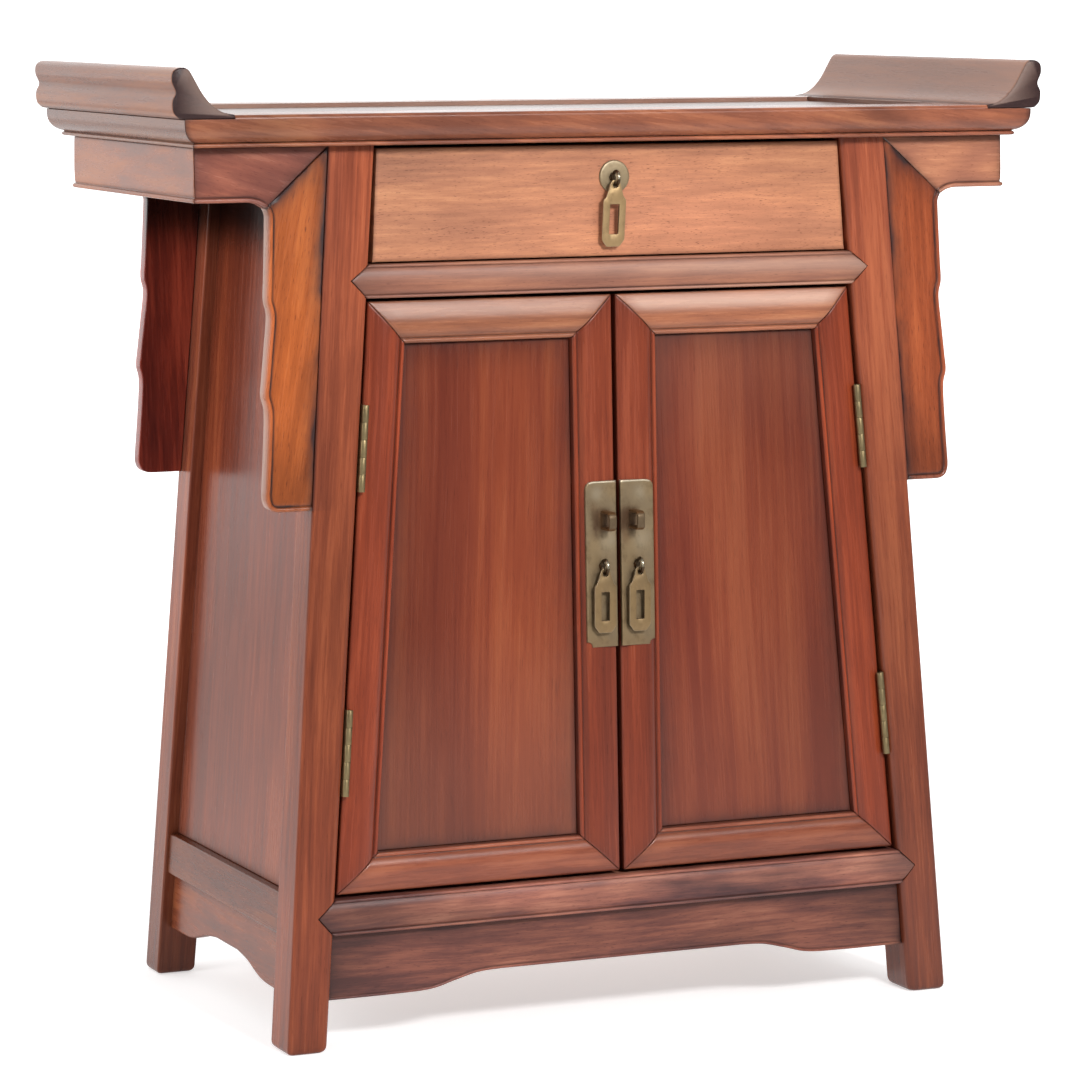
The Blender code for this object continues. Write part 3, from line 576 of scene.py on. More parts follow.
def tones(k, red=1.0, green=1.0, blue=1.0, spread=1.0, hue=1.0):
    # Dark to pale: four colours of the same hardwood, k is its lightness.
    base = [(0.040, 0.0110, 0.0075), (0.100, 0.0270, 0.0135), (0.170, 0.0480, 0.0200), (0.262, 0.0860, 0.0345)]
    mid = (0.135, 0.0375, 0.0168)
    out = []
    for c in base:
        q = [m + (v - m) * w for v, m, w in zip(c, mid, (spread, spread * hue, spread * hue))]
        out.append((q[0] * k * red, q[1] * k * green, q[2] * k * blue))
    return out


# --- Top ---------------------------------------------------------------------------
def top_y(s, o):
    return -(TOP_FRONT_Y - o) if s < 0 else TOP_BACK_Y - o


TOP_OUTER = [(0.0, 806.0), (0.03, 802.4), (0.25, 799.4), (0.8, 796.8), (1.75, 794.4), (3.1, 792.2), (4.9, 790.2),
             (7.0, 788.6), (9.3, 787.4), (11.2, 786.8), (12.2, 786.5), (12.5, 786.1), (11.9, 785.75), (11.1, 785.2),
             (10.75, 784.4), (10.8, 783.5), (11.3, 782.8), (12.4, 782.3), (14.0, 782.1)]
ARRIS = [(5.0, 810.0), (3.4, 809.95), (2.1, 809.65), (1.1, 809.0), (0.4, 808.0), (0.06, 807.0)]


def x_stations(ends):
    # Positions along a long member, finer near its ends and its housings.
    out = []
    for a, b, step in ends:
        k = max(1, math.ceil((b - a) / step))
        out += [a + (b - a) * j / k for j in range(k)]
    return out + [ends[-1][1]]


def long_member_rows(s):
    # The member is built whole, mitred at both ends; its upper part stops at
    # the housings of the everted ends.
    prof = [(62.0, 810.0), (34.0, 810.0)] + ARRIS + TOP_OUTER + [(38.0, 782.1), (62.0, 782.1)]
    rows, pat, wr = [], [], []

    def add(xs, p, g0):
        rows.append([(x, top_y(s, o), z) for x, (o, z) in zip(xs, p)])
        for o, z in p:
            g = math.exp(-((o - 12.4) / 0.7) ** 2) * 0.9 if 785.8 < z < 787.0 else 0.0
            if z < 782.5 and o > 13:
                g = 0.55
            pat.append(max(g, g0))
            wr.append((0.55 if 808.4 < z < 809.9 and o < 3.0 else 0.0) + (0.8 if 783.0 < z < 785.3 and o < 11.5 else 0.0))
    low = [(o, min(z, HOUSING_Z)) for o, z in prof]
    # Left end, housing zone, body, housing zone, right end.
    for e in (-1, 1):
        stations = []
        for j in range(5):
            t = (0.0, 0.02, 0.12, 0.5, 1.0)[j]
            xs = []
            for o, z in low:
                end = TOP_HALF_X - o - 0.25
                stop = min(HOUSING_X, end - 0.4)
                xs.append(e * (end + (stop - end) * t))
            stations.append((xs, 0.85 * max(0.0, 1.0 - t * 9.0)))
        if e < 0:
            for xs, g in stations:
                add(xs, low, g)
            body = x_stations([(-HOUSING_X, HOUSING_X, 13.0)])
            for x in body:
                xs = []
                for o, z in prof:
                    end = TOP_HALF_X - o - 0.25
                    stop = min(HOUSING_X, end - 0.4)
                    xs.append(max(-stop, min(stop, x)) if abs(x) > stop - 1e-6 else x)
                add(xs, prof, 0.0)
        else:
            for xs, g in stations[::-1]:
                add(xs, low, g)
    v, f = loops(rows)
    return v, f, {"patina_and_shade": pat, "wear_and_highlight": wr, "tone": [1.0 + 0.12 * q[0] / 400.0 for q in v]}


def end_member_rows(s):
    step = TOP_HALF_X - HOUSING_X
    prof = [(62.0, 810.0), (step, 810.0), (step, HOUSING_Z), (20.0, HOUSING_Z), (1.2, HOUSING_Z), (0.3, 806.3)]
    prof += TOP_OUTER + [(38.0, 782.1), (62.0, 782.1)]
    rows, pat, wr = [], [], []
    # the far joint shows as a dark line a little in from the back corner
    us = [0.0, 0.004, 0.012] + [0.012 + k / 26 * 0.888 for k in range(1, 26)] + [0.912, 0.916, 0.918, 0.920, 0.924]
    us += [0.95, 0.988, 0.996, 1.0]
    for u in us:
        rows.append([(s * (TOP_HALF_X - o), top_y(-1, o + 0.25) + (top_y(1, o + 0.25) - top_y(-1, o + 0.25)) * u, z)
                     for o, z in prof])
        for o, z in prof:
            g = math.exp(-((o - 12.4) / 0.7) ** 2) * 0.35 if 785.8 < z < 787.0 else 0.0
            if z < 782.5 and o > 13:
                g = 0.55
            pat.append(max(g, 0.8 if u in (0.0, 1.0) else 0.0, 0.9 if u == 0.918 else 0.0, 0.45 if z > 806 and o < 3 else 0.0))
            wr.append(0.5 if 783.0 < z < 785.3 and o < 11.5 else 0.0)
    v, f = loops(rows)
    return v, f, {"patina_and_shade": pat, "wear_and_highlight": wr, "tone": [1.0] * len(v)}


TOP_FRONT = wood("top_front_wood", tones(1.80, 1.0, 1.19, 1.38, 0.5), 3, band=40, fine=190, along=8.0, warp=0.012,
                 weights=(0.30, 0.34, 0.16, 0.3), ring=0.12, ring_scale=10.0, ring_tilt=(0.05, 0.42), turn=(0.0, 0.13, 0.0),
                 mottle=8.0)
# The end members' wood is greyer, with green and blue raised: painted sheen.
TOP_SIDE = wood("top_side_wood", tones(1.12, 1.0, 1.5, 2.16, 0.5), 7, band=30, fine=150, along=5.0,
                weights=(0.3, 0.3, 0.16, 0.35))
TOP_PANEL = wood("top_panel_wood", tones(0.86, 1.0, 1.4, 1.86, 0.6), 9, band=20, fine=150, along=4.0, attr=False,
                 turn=(0.0, math.pi / 2, 0.0), rough=(0.22, 0.34), weights=(0.32, 0.3, 0.16, 0.35), ring=0.15, ring_scale=7.0,
                 ior=1.45)
for nm, s in (("front", -1), ("back", 1)):
    v, f, a = long_member_rows(s)
    patch = [(-329.0, 796.0, 36.0, 90.0, 0.76), (241.0, 796.0, 38.0, 90.0, 0.79), (326.0, 796.0, 40.0, 90.0, 1.08)] if s < 0 else []
    a["tone"] = list(np.array(a["tone"]) * blobs(np.array([q[0] for q in v]), np.array([q[2] for q in v]), patch))
    # The back member is paler along its inner edge: a painted reflection.
    if s > 0:
        inner = min(q[1] for q in v)
        a["painted_sheen_and_shade"] = [0.75 * math.exp(-((q[1] - inner) / 8.0) ** 2) for q in v]
    make("top_" + nm + "_rail", v, f, TOP_FRONT, "carcass", "top_frame_" + nm, (1, 0, 0), (0, s, 0), a)
for nm, s in (("left", -1), ("right", 1)):
    v, f, a = end_member_rows(s)
    make("top_" + nm + "_rail", v, f, TOP_SIDE, "carcass", "top_frame_" + nm, (0, 1, 0), (s, 0, 0), a)

FLANGE_BASE = HOUSING_Z + GAP
inner = curve([(HOUSING_X + GAP, TOP_Z + 0.2), (371.0, 812.4), (380.5, 818.4), (388.5, 827.6), (394.8, 838.2),
               (400.2, 847.2), (404.5, CREST_Z - 0.05)], 6)
outer = curve([(404.5, CREST_Z - 0.05), (410.5, CREST_Z - 0.7), (415.0, 845.6), (415.5, 838.0), (412.2, 829.2),
               (415.2, 821.5), (414.4, 812.5), (409.5, FLANGE_BASE + 0.6)], 6)
FLANGE = [(HOUSING_X + GAP, FLANGE_BASE)] + inner + outer[1:] + [(405.5, FLANGE_BASE)]


def flange_rows(s):
    n = len(FLANGE)
    area = sum(a[0] * b[1] - b[0] * a[1] for a, b in zip(FLANGE, FLANGE[1:] + FLANGE[:1]))
    sg = 1.0 if area > 0 else -1.0
    nrm = normals_of(FLANGE, True, sg)
    rows, pat, wr, tn, hz = [], [], [], [], []
    y0, y1 = top_y(-1, 0.0), top_y(1, 0.0)
    st = [(0.0, 1.1), (0.35, 0.45), (1.1, 0.0), (4.0, 0.0)]
    ys = [(y0 + a, c) for a, c in st] + [(y0 + 4.0 + (y1 - y0 - 8.0) * k / 24, 0.0) for k in range(1, 24)]
    ys += [(y1 - a, c) for a, c in st[::-1]]
    for y, c in ys:
        rows.append([(s * (p[0] + q[0] * c), y, p[1] + q[1] * c) for p, q in zip(FLANGE, nrm)])
        for p in FLANGE:
            g = 0.0
            if p[0] > 411.5 and abs(p[1] - 829.2) < 3.0:
                g = 0.30 * (1.0 - abs(p[1] - 829.2) / 3.0)
            if p[0] > 404 and p[1] < 809.0:
                g = 0.5
            if p[0] < 366.0:
                g = max(g, 0.55)
            pat.append(max(g, 0.4 if c > 0.4 else 0.0))
            wr.append(0.35 if p[1] > 848.0 else 0.0)
            # The inner faces over the top are lighter and paler: painted light and sheen.
            tn.append(1.2 if p[0] < 403.0 and p[1] > 811.0 else 1.0)
            hz.append(0.45 if p[0] < 403.0 and p[1] > 811.0 else 0.0)
    v, f = loops(rows, caps=False)
    body = (v, f, {"patina_and_shade": pat, "wear_and_highlight": wr, "tone": tn, "painted_sheen_and_shade": hz})
    return body, n, len(rows)


FLANGE_WOOD = wood("flange_wood", tones(1.44, 1.0, 1.2, 1.2, 0.5), 13, band=36, fine=180, along=5.0, warp=0.008,
                   weights=(0.32, 0.34, 0.18, 0.34), rough=(0.24, 0.34), ior=1.34)
END_GRAIN = wood("end_grain_wood", tones(0.22, 0.95, 1.3, 2.75, 0.6), 17, band=120, fine=420, along=90.0, warp=0.004,
                 weights=(0.2, 0.45, 0.35, 0.3), pore=0.5, rough=(0.40, 0.52), bump=0.2)
for nm, s in (("left", -1), ("right", 1)):
    (v, f, a), n, rows = flange_rows(s)
    f = f + [tuple(range(n)), tuple(range((rows - 1) * n, rows * n))]
    ob = make("flange_" + nm + "_board", v, f, FLANGE_WOOD, "carcass", "flange_" + nm, (0, 1, 0), (s, 0, 0), a)
    ob.data.materials.append(END_GRAIN)
    for p in ob.data.polygons:
        if abs(p.normal.y) > 0.3:
            p.material_index = 1

# --- Posts ----------------------------------------------------------------------------


def rounded(corners, radii, steps, hold=0.0):
    # Closed loop round a rectangle, corners in order, one radius each; hold adds
    # points that keep the flats flat.
    out = []
    n = len(corners)
    for i in range(n):
        p, a, b = Vector(corners[i]), Vector(corners[i - 1]), Vector(corners[(i + 1) % n])
        u, w = (a - p).normalized(), (b - p).normalized()
        r = radii[i]
        c = p + u * r + w * r
        if hold:
            out.append(tuple(p + u * (r + hold)))
        for k in range(steps + 1):
            t = math.pi / 2 * k / steps
            out.append(tuple(c - w * r * math.cos(t) - u * r * math.sin(t)))
        if hold:
            out.append(tuple(p + w * (r + hold)))
    return out


def post_dark(sx, sy):
    # Deposits along the seams of a post, by place.
    def dark(p):
        x, y, z = sx * p[0], sy * p[1], p[2]
        yo = half_depth(z) if sy < 0 else rear_depth(z)
        g = 0.35 * math.exp(-max(0.0, z) / 5.0)
        if 471.0 < z < UNDER_Z and y > yo - 8.0:
            g = max(g, 0.8 * math.exp(-max(0.0, post_out(z) - x) / 1.5))
        if z > 770.0:
            g = max(g, 0.5 * math.exp(-(UNDER_Z - z) / 3.0))
        return g
    return dark


# Lightness factor, 1 below z 652 and falling to 0.1 at z 712, under the top's overhang: a painted shadow.
def overhang_shadow_paint(z):
    return float(np.interp(z, (652.0, 672.0, 688.0, 700.0, 712.0), (1.0, 0.94, 0.58, 0.22, 0.10)))


# Lightness of a post by height, brighter towards the top and darker towards the foot: painted light and shade. The back
# posts also take the painted overhang shadow on their inner faces.
def post_light_paint(sx, sy):
    steps = (0.92, 1.06, 0.84, 1.30, 1.46) if sx < 0 else (0.71, 0.82, 0.82, 1.26, 1.46)
    if sy > 0:
        def rear(p):
            inward = min(1.0, max(0.0, (rear_depth(p[2]) - p[1]) / 1.2))
            return (1.0 - inward * (1.0 - overhang_shadow_paint(p[2]))) * float(
                np.interp(p[2], (0.0, 110.0, 400.0, 560.0, 650.0), (0.50, 0.74, 1.22, 1.12, 1.42)))
        return rear
    return lambda p: float(np.interp(p[2], (0.0, 110.0, 400.0, 650.0, 782.0), steps))


def post_rows(sx, sy, z0=0.0, z1=UNDER_Z - 0.4):
    foot = [(0.0, 4.4), (0.5, 3.0), (1.3, 1.8), (2.6, 0.8), (4.4, 0.2), (6.5, 0.0)]
    zs = foot + [(z, 0.0) for z in x_stations([(14.0, 464.0, 11.0), (464.0, 470.9, 3.0), (470.9, 471.4, 0.5), (471.4, z1, 11.0)])]
    rows = []
    for z, c in zs:
        xi, xo = post_in(z) + c, post_out(z) - c
        yo, yi = (half_depth(z) if sy < 0 else rear_depth(z)) - c, post_back(z) + c
        near = 1.2 if z > 471.1 else 3.0
        fi, fo = (6.0, near) if sy < 0 else (2.6, near)
        corners = [(xi, yo), (xo, yo), (xo, yi), (xi, yi)]
        ring = rounded(corners, (fi, fo, 1.8, 1.6), 7, 1.2)
        rows.append([(sx * x, sy * y, z) for x, y in ring])
    v, f = loops(rows)
    dark, tone = post_dark(sx, sy), post_light_paint(sx, sy)
    return v, f, {"patina_and_shade": [dark(p) for p in v], "wear_and_highlight": [0.0] * len(v), "tone": [tone(p) for p in v]}


def rail_point(rail):
    low, tip_z, high, tip_x = rail
    return [(post_in(high), high), (tip_x, tip_z), (post_in(low), low)]


def cutter(name, rail, s, grow):
    a, t, b = [Vector(p) for p in rail_point(rail)]
    da, db = (t - a).normalized(), (t - b).normalized()
    na, nb = Vector((-da.y, da.x)), Vector((db.y, -db.x))
    na = na if na.y > 0 else -na
    nb = nb if nb.y < 0 else -nb
    tip = t + Vector((grow / math.sin(math.acos(max(-1.0, min(1.0, da.dot(db)))) / 2), 0.0))
    tri = flip([tuple(a + na * grow - da * 9.0), tuple(tip), tuple(b + nb * grow - db * 9.0)], s)
    v, f = loops([[on_front(x, z, d) for x, z in tri] for d in (-8.0, 12.4)])
    mesh = bpy.data.meshes.new(name)
    mesh.from_pydata([tuple(Vector(p) * MM) for p in v], [], f)
    bm = bmesh.new()
    bm.from_mesh(mesh)
    bmesh.ops.recalc_face_normals(bm, faces=bm.faces[:])
    bm.to_mesh(mesh)
    bm.free()
    ob = bpy.data.objects.new(name, mesh)
    scene.collection.objects.link(ob)
    return ob


def carve(ob, tools, grain, face, dark, shade):
    # Cuts the notches, then lays the grain, deposits and painted light and shade on the new mesh.
    for tool in tools:
        m = ob.modifiers.new("cut", "BOOLEAN")
        m.operation, m.solver, m.object = "DIFFERENCE", "EXACT", tool
    bpy.context.view_layer.update()
    got = bpy.data.meshes.new_from_object(ob.evaluated_get(bpy.context.evaluated_depsgraph_get()))
    ob.modifiers.clear()
    old = ob.data
    ob.data = got
    bpy.data.meshes.remove(old)
    for tool in tools:
        me = tool.data
        bpy.data.objects.remove(tool)
        bpy.data.meshes.remove(me)
    z = Vector(grain).normalized()
    y = Vector(face)
    y = (y - z * y.dot(z)).normalized()
    lie = Matrix((y.cross(z), y, z))
    for k in ("patina_and_shade", "wear_and_highlight", "tone", "painted_sheen_and_shade", "grain"):
        if k in got.attributes:
            got.attributes.remove(got.attributes[k])
    place = ob.matrix_world
    n = len(got.vertices)
    pat = [dark((place @ v.co) / MM) for v in got.vertices]
    tone = [shade((place @ v.co) / MM) for v in got.vertices]
    for k, vals in (("patina_and_shade", pat), ("wear_and_highlight", [0.0] * n), ("tone", tone), ("painted_sheen_and_shade", [0.0] * n)):
        got.attributes.new(k, "FLOAT", "POINT").data.foreach_set("value", vals)
    got.attributes.new("grain", "FLOAT_VECTOR", "POINT").data.foreach_set(
        "vector", [c for v in got.vertices for c in lie @ v.co])
    got.shade_smooth()
    got.set_sharp_from_angle(angle=math.radians(36.0))
    return ob


POST_LEFT = wood("post_left_wood", tones(1.49, 1.0, 0.88, 0.89, 0.55), 21, band=44, fine=230, along=3.2, warp=0.006,
                 weights=(0.26, 0.32, 0.20, 0.28), mottle=7.0, ior=1.25)
POST_RIGHT = wood("post_right_wood", tones(1.46, 1.0, 0.86, 0.86, 0.55), 24, band=44, fine=230, along=3.2, warp=0.006,
                  weights=(0.26, 0.32, 0.20, 0.28), mottle=7.0)
POST_BACK = wood("post_back_wood", tones(1.44, 1.0, 0.92, 1.02, 0.55), 27, band=44, fine=220, along=3.2, warp=0.006,
                 weights=(0.26, 0.32, 0.20, 0.28), mottle=7.0, ior=1.30)
for nm, sx, mat in (("left", -1, POST_LEFT), ("right", 1, POST_RIGHT)):
    lean = (sx * -0.0750, 0.0350, 1.0)
    v, f, a = post_rows(sx, -1)
    ob = make("post_front_" + nm + "_leg", v, f, mat, "carcass", "post_front_" + nm, lean, (0, -1, 0), a)
    carve(ob, [cutter("cut_a", DRAWER_RAIL, sx, 0.55), cutter("cut_b", BOTTOM_RAIL, sx, 0.55)], lean, (0, -1, 0),
          post_dark(sx, -1), post_light_paint(sx, -1))
    v, f, a = post_rows(sx, 1)
    make("post_back_" + nm + "_leg", v, f, POST_BACK, "carcass", "post_back_" + nm,
         (sx * -0.0750, -0.0295, 1.0), (0, 1, 0), a)

# --- Rails between the posts ---------------------------------------------------------------
# Convex face between two thin beads; the pointed ends are let into the posts.


def rail_profile(e):
    # e: distance from the nearer long edge.
    bead = [(0.0, -1.5), (0.25, -0.75), (0.8, -0.2), (1.5, 0.0), (2.1, -0.12), (2.6, -0.55), (2.95, -1.2), (3.3, -1.55),
            (3.8, -1.3), (4.8, -0.75), (6.4, -0.15), (8.6, 0.35), (11.0, 0.65), (13.6, 0.8), (16.5, 0.85)]
    return float(np.interp(e, [b[0] for b in bead], [b[1] for b in bead]))


def rail_piece(name, node, rail, depth, mat, spots, sheen_paint, crest=0.1):
    low, tip_z, high, tip_x = rail
    cuts = [0.0, 0.25, 0.8, 1.5, 2.1, 2.6, 2.95, 3.3, 3.8, 4.8, 6.4, 8.6, 11.0, 13.6]
    levels = sorted({low + c for c in cuts} | {high - c for c in cuts} | {tip_z})
    cols = 96

    def reach(z):
        # half width of the face at height z
        if z >= tip_z:
            return tip_x + (post_in(high) - tip_x) * (z - tip_z) / (high - tip_z)
        return tip_x + (post_in(low) - tip_x) * (tip_z - z) / (tip_z - low)
    verts, faces, pat, wr, tn, hz = [], [], [], [], [], []
    us = [-1.0, -0.9975, -0.993, -0.985, -0.97] + [-0.95 + 1.9 * k / cols for k in range(cols + 1)] + [0.97, 0.985, 0.993, 0.9975, 1.0]
    for z in levels:
        r = reach(z)
        e = min(z - low, high - z)
        for u in us:
            h = rail_profile(e)
            side = (1.0 - abs(u)) * r
            h -= 0.9 * max(0.0, 1.0 - side / 0.8)
            verts.append(on_front(u * r, z, 0.0 - h))
            up = (z - low) / (high - low)
            g = (0.55 if up > 0.5 else 0.85) * math.exp(-((e - 3.1) / 0.6) ** 2)
            g = max(g, 0.9 * math.exp(-side / 1.6), 0.45 * math.exp(-side / 14.0) * (abs(u) > 0.9))
            pat.append(g)
            wr.append((crest if up > 0.5 else 0.9) * math.exp(-((e - 1.4) / 0.8) ** 2))
            # Paler towards the right and on the lower bead: painted sheen.
            hz.append(sheen_paint * float(np.interp(u, (-0.8, 0.4), (0.12, 0.95)))
                      * max(math.exp(-((up - 0.62) / 0.24) ** 2), 0.9 * math.exp(-((up - 0.05) / 0.04) ** 2)))
            tn.append(float(blobs(np.array([u * r]), np.array([z]), spots)[0]))
    n, m = len(us), len(levels)
    for k in range(m - 1):
        for i in range(n - 1):
            faces.append((k * n + i, k * n + i + 1, (k + 1) * n + i + 1, (k + 1) * n + i))
    # walls to the back of the lap, then the core behind it
    edge = [k * n for k in range(m)] + [(m - 1) * n + i for i in range(1, n)] + [k * n + n - 1 for k in range(m - 2, -1, -1)]
    edge += [i for i in range(n - 2, 0, -1)]
    start = len(verts)
    for i in edge:
        x, y, z = verts[i]
        verts.append(on_front(x, z, 12.0))
        pat.append(0.3)
        wr.append(0.0)
        tn.append(1.0)
        hz.append(0.0)
    q = len(edge)
    for k in range(q):
        j = (k + 1) % q
        faces.append((edge[k], edge[j], start + j, start + k))
    faces.append(tuple(range(start, start + q)))
    lo, hi = low + 0.4, high - 0.4
    core = [(post_in(hi) - GAP, hi), (post_in(lo) - GAP, lo), (-post_in(lo) + GAP, lo), (-post_in(hi) + GAP, hi)]
    cv, cf = loops([[on_front(x, z, d) for x, z in core] for d in (12.05, depth)])
    v, f, a = join((verts, faces, {"patina_and_shade": pat, "wear_and_highlight": wr, "tone": tn, "painted_sheen_and_shade": hz}), (cv, cf, None))
    return make(name, v, f, mat, "carcass", node, (1, 0, 0), (0, -1, 0.04), a)


RAIL_WOOD = wood("drawer_rail_wood", tones(1.95, 1.0, 1.42, 1.9, 0.45), 31, band=50, fine=230, along=6.0, warp=0.006,
                 weights=(0.26, 0.34, 0.2, 0.35), rough=(0.36, 0.48))
# Its greyish violet partly stands in for the pale floor's reflection: painted reflection.
LOW_RAIL_WOOD = wood("bottom_rail_wood", tones(1.32, 1.02, 1.24, 1.95, 0.95), 36, band=44, fine=220, along=6.0, warp=0.012,
                     weights=(0.26, 0.30, 0.20, 0.50), mottle=15.0, pore=0.7, rough=(0.34, 0.46))
rail_piece("drawer_rail_moulded", "drawer_rail", DRAWER_RAIL, 36.0, RAIL_WOOD, [], 0.55)
rail_piece("bottom_rail_moulded", "bottom_rail", BOTTOM_RAIL, 43.0, LOW_RAIL_WOOD,
           [(-250.0, 116.0, 60.0, 24.0, 0.55), (-150.0, 109.0, 75.0, 8.0, 0.66), (-105.0, 124.0, 42.0, 11.0, 1.38),
            (-40.0, 124.0, 70.0, 14.0, 1.12), (150.0, 110.0, 60.0, 16.0, 0.72), (270.0, 116.0, 34.0, 20.0, 0.78),
            (205.0, 108.0, 80.0, 34.0, 1.20)], 0.15, 0.8)

# --- Aprons below the rails -------------------------------------------------------------------
half = curve([(post_in(44.0) - 0.4, 44.0), (225.0, 44.0), (186.0, 45.2), (162.0, 51.0), (140.0, 56.2), (118.0, 57.5)], 8)
edge = half + [(x, 57.5) for x in (80.0, 40.0, 0.0, -40.0, -80.0)] + flip(half[::-1], -1)
tz = BOTTOM_RAIL[0] - 0.4
chains = [("free", edge), ("seam", [edge[-1], (-post_in(tz) + 0.4, tz)]),
          ("seam", [(-post_in(tz) + 0.4, tz), (post_in(tz) - 0.4, tz)]), ("seam", [(post_in(tz) - 0.4, tz), edge[0]])]
v, f, a = relief(chains, FINE_BEAD, on_front, 7.4, 20.0, grid=10.0, dark=1.0, groove=(2.9, 0.6, 0.7), rim=0.8, soft=9.0,
                 spots=[(255.0, 85.0, 45.0, 40.0, 0.60), (110.0, 65.0, 70.0, 14.0, 0.7), (-262.0, 80.0, 30.0, 40.0, 0.7),
                        (-60.0, 72.0, 60.0, 12.0, 0.85)])
APRON_LOW = wood("bottom_apron_wood", tones(1.23, 1.0, 1.17, 1.75, 0.75), 41, band=44, fine=210, along=6.0, warp=0.014,
                 weights=(0.26, 0.36, 0.26, 0.3), mottle=13.0, pore=0.7, rough=(0.34, 0.46))
make("bottom_apron_board", v, f, APRON_LOW, "carcass", "bottom_apron", (1, 0, 0), (0, -1, 0.04), a)

SIDE_RAIL = wood("side_rail_wood", tones(1.28, 1.0, 0.92, 0.85, 0.6), 44, band=34, fine=170, along=6.0, warp=0.012,
                 weights=(0.26, 0.3, 0.18, 0.45), mottle=14.0, ior=1.30)
SIDE_PANEL = wood("side_panel_wood", tones(1.23, 1.05, 0.79, 0.76, 0.5), 47, band=28, fine=180, along=3.0, warp=0.006,
                  weights=(0.3, 0.28, 0.16, 0.34), mottle=5.0, ior=1.25)
for nm, s in (("left", -1), ("right", 1)):
    place = on_side(s)
    z0, z1 = 97.0, 134.0
    chains = [("free", [(-post_back(z1) + 0.4, z1), (post_back(z1) - 0.4, z1)]),
              ("seam", [(post_back(z1) - 0.4, z1), (post_back(z0) - 0.4, z0)]),
              ("free", [(post_back(z0) - 0.4, z0), (-post_back(z0) + 0.4, z0)]),
              ("seam", [(-post_back(z0) + 0.4, z0), (-post_back(z1) + 0.4, z1)])]
    rail = relief(chains, ROUND, place, 3.0, 28.0, grid=9.0, dark=0.7, spots=[(0.0, 115.0, 900.0, 900.0, 0.66)])
    skirt = curve([(post_back(44.2) - 0.4, 44.2), (122.0, 44.4), (98.0, 45.2), (79.0, 48.6), (54.0, 55.4), (28.0, 59.0)], 8)
    low = skirt + [(0.0, 59.0)] + flip(skirt[::-1], -1)
    zt = z0 - 0.3
    chains = [("free", low), ("seam", [low[-1], (-post_back(zt) + 0.4, zt)]),
              ("seam", [(-post_back(zt) + 0.4, zt), (post_back(zt) - 0.4, zt)]), ("seam", [(post_back(zt) - 0.4, zt), low[0]])]
    board = relief(chains, ROUND, place, 10.0, 20.0, grid=9.0, dark=0.8, groove=(0.3, 0.7, 0.7))
    v, f, a = join(rail, board)
    make("side_rail_" + nm + "_board", v, f, SIDE_RAIL, "carcass", "side_rail_" + nm, (0, 1, 0), (s, 0, 0), a)
    za, zb = 781.5, z1 + 0.4
    box = [(post_back(za) - 0.4, za), (post_back(zb) - 0.4, zb), (-post_back(zb) + 0.4, zb), (-post_back(za) + 0.4, za)]
    chains = [("seam", [box[k], box[(k + 1) % 4]]) for k in range(4)]
    # Darker towards the top, under the overhang: painted shadow. Paler towards the bottom: painted sheen.
    v, f, a = relief(chains, FLAT, place, 11.0, 21.0, grid=10.0, dark=0.55, soft=7.0,
                     spots=[(0.0, 790.0, 400.0, 60.0, 0.45), (0.0, 200.0, 60.0, 120.0, 1.10)])
    a["tone"] = [g * overhang_shadow_paint(q[2]) for g, q in zip(a["tone"], v)]
    a["painted_sheen_and_shade"] = [0.09 * min(1.0, max(0.0, (480.0 - q[2]) / 130.0)) for q in v]
    make("side_panel_" + nm + "_board", v, f, SIDE_PANEL, "carcass", "side_panel_" + nm, (0, 0, 1), (s, 0, 0), a)

hi, lo = BOTTOM_RAIL[2], BOTTOM_RAIL[0]
BACK_WOOD = wood("back_panel_wood", tones(0.95, 1.0, 1.0, 1.05, 0.7), 51, band=18, fine=130, along=3.0, ring=0.25,
                 ring_scale=6.0, weights=(0.32, 0.3, 0.16, 0.34))
box = [(post_in(781.5) - 0.4, 781.5), (post_in(hi) - 0.4, hi + 0.4), (-post_in(hi) + 0.4, hi + 0.4), (-post_in(781.5) + 0.4, 781.5)]
v, f, a = relief([("seam", [box[k], box[(k + 1) % 4]]) for k in range(4)], FLAT, on_rear, 8.0, 18.0, grid=22.0, dark=0.6,
                 soft=8.0)
make("back_panel_board", v, f, BACK_WOOD, "carcass", "back_panel", (0, 0, 1), (0, 1, 0), a)
box = [(post_in(hi) - 0.4, hi), (post_in(lo) - 0.4, lo), (-post_in(lo) + 0.4, lo), (-post_in(hi) + 0.4, hi)]
chains = [("seam", [box[0], box[1]]), ("free", [box[1], box[2]]), ("seam", [box[2], box[3]]), ("free", [box[3], box[0]])]
v, f, a = relief(chains, ROUND, on_rear, 4.0, 35.3, grid=14.0, dark=0.7)
make("back_rail_board", v, f, LOW_RAIL_WOOD, "carcass", "back_rail", (1, 0, 0), (0, 1, 0), a)

# --- Hanging aprons and spandrels -----------------------------------------------------------------
MA, MB = Vector((267.7, UNDER_Z - GAP)), Vector((325.5, 729.8))
mdir = (MB - MA).normalized()
mn = Vector((-mdir.y, mdir.x))
mn = mn if mn.y > 0 else -mn
APRON_Z, APRON_X, THICK = 735.2, 390.2, 14.0


def mitred(place):
    # The outer ends of the hanging boards are mitred to the end aprons.
    def at(x, z, d):
        w = abs(x)
        if w > 345.0:
            w = 345.0 + (w - 345.0) * (APRON_X - 0.25 - d - 345.0) / (APRON_X - 0.2 - 345.0)
        return place(math.copysign(w, x), z, d)
    return at


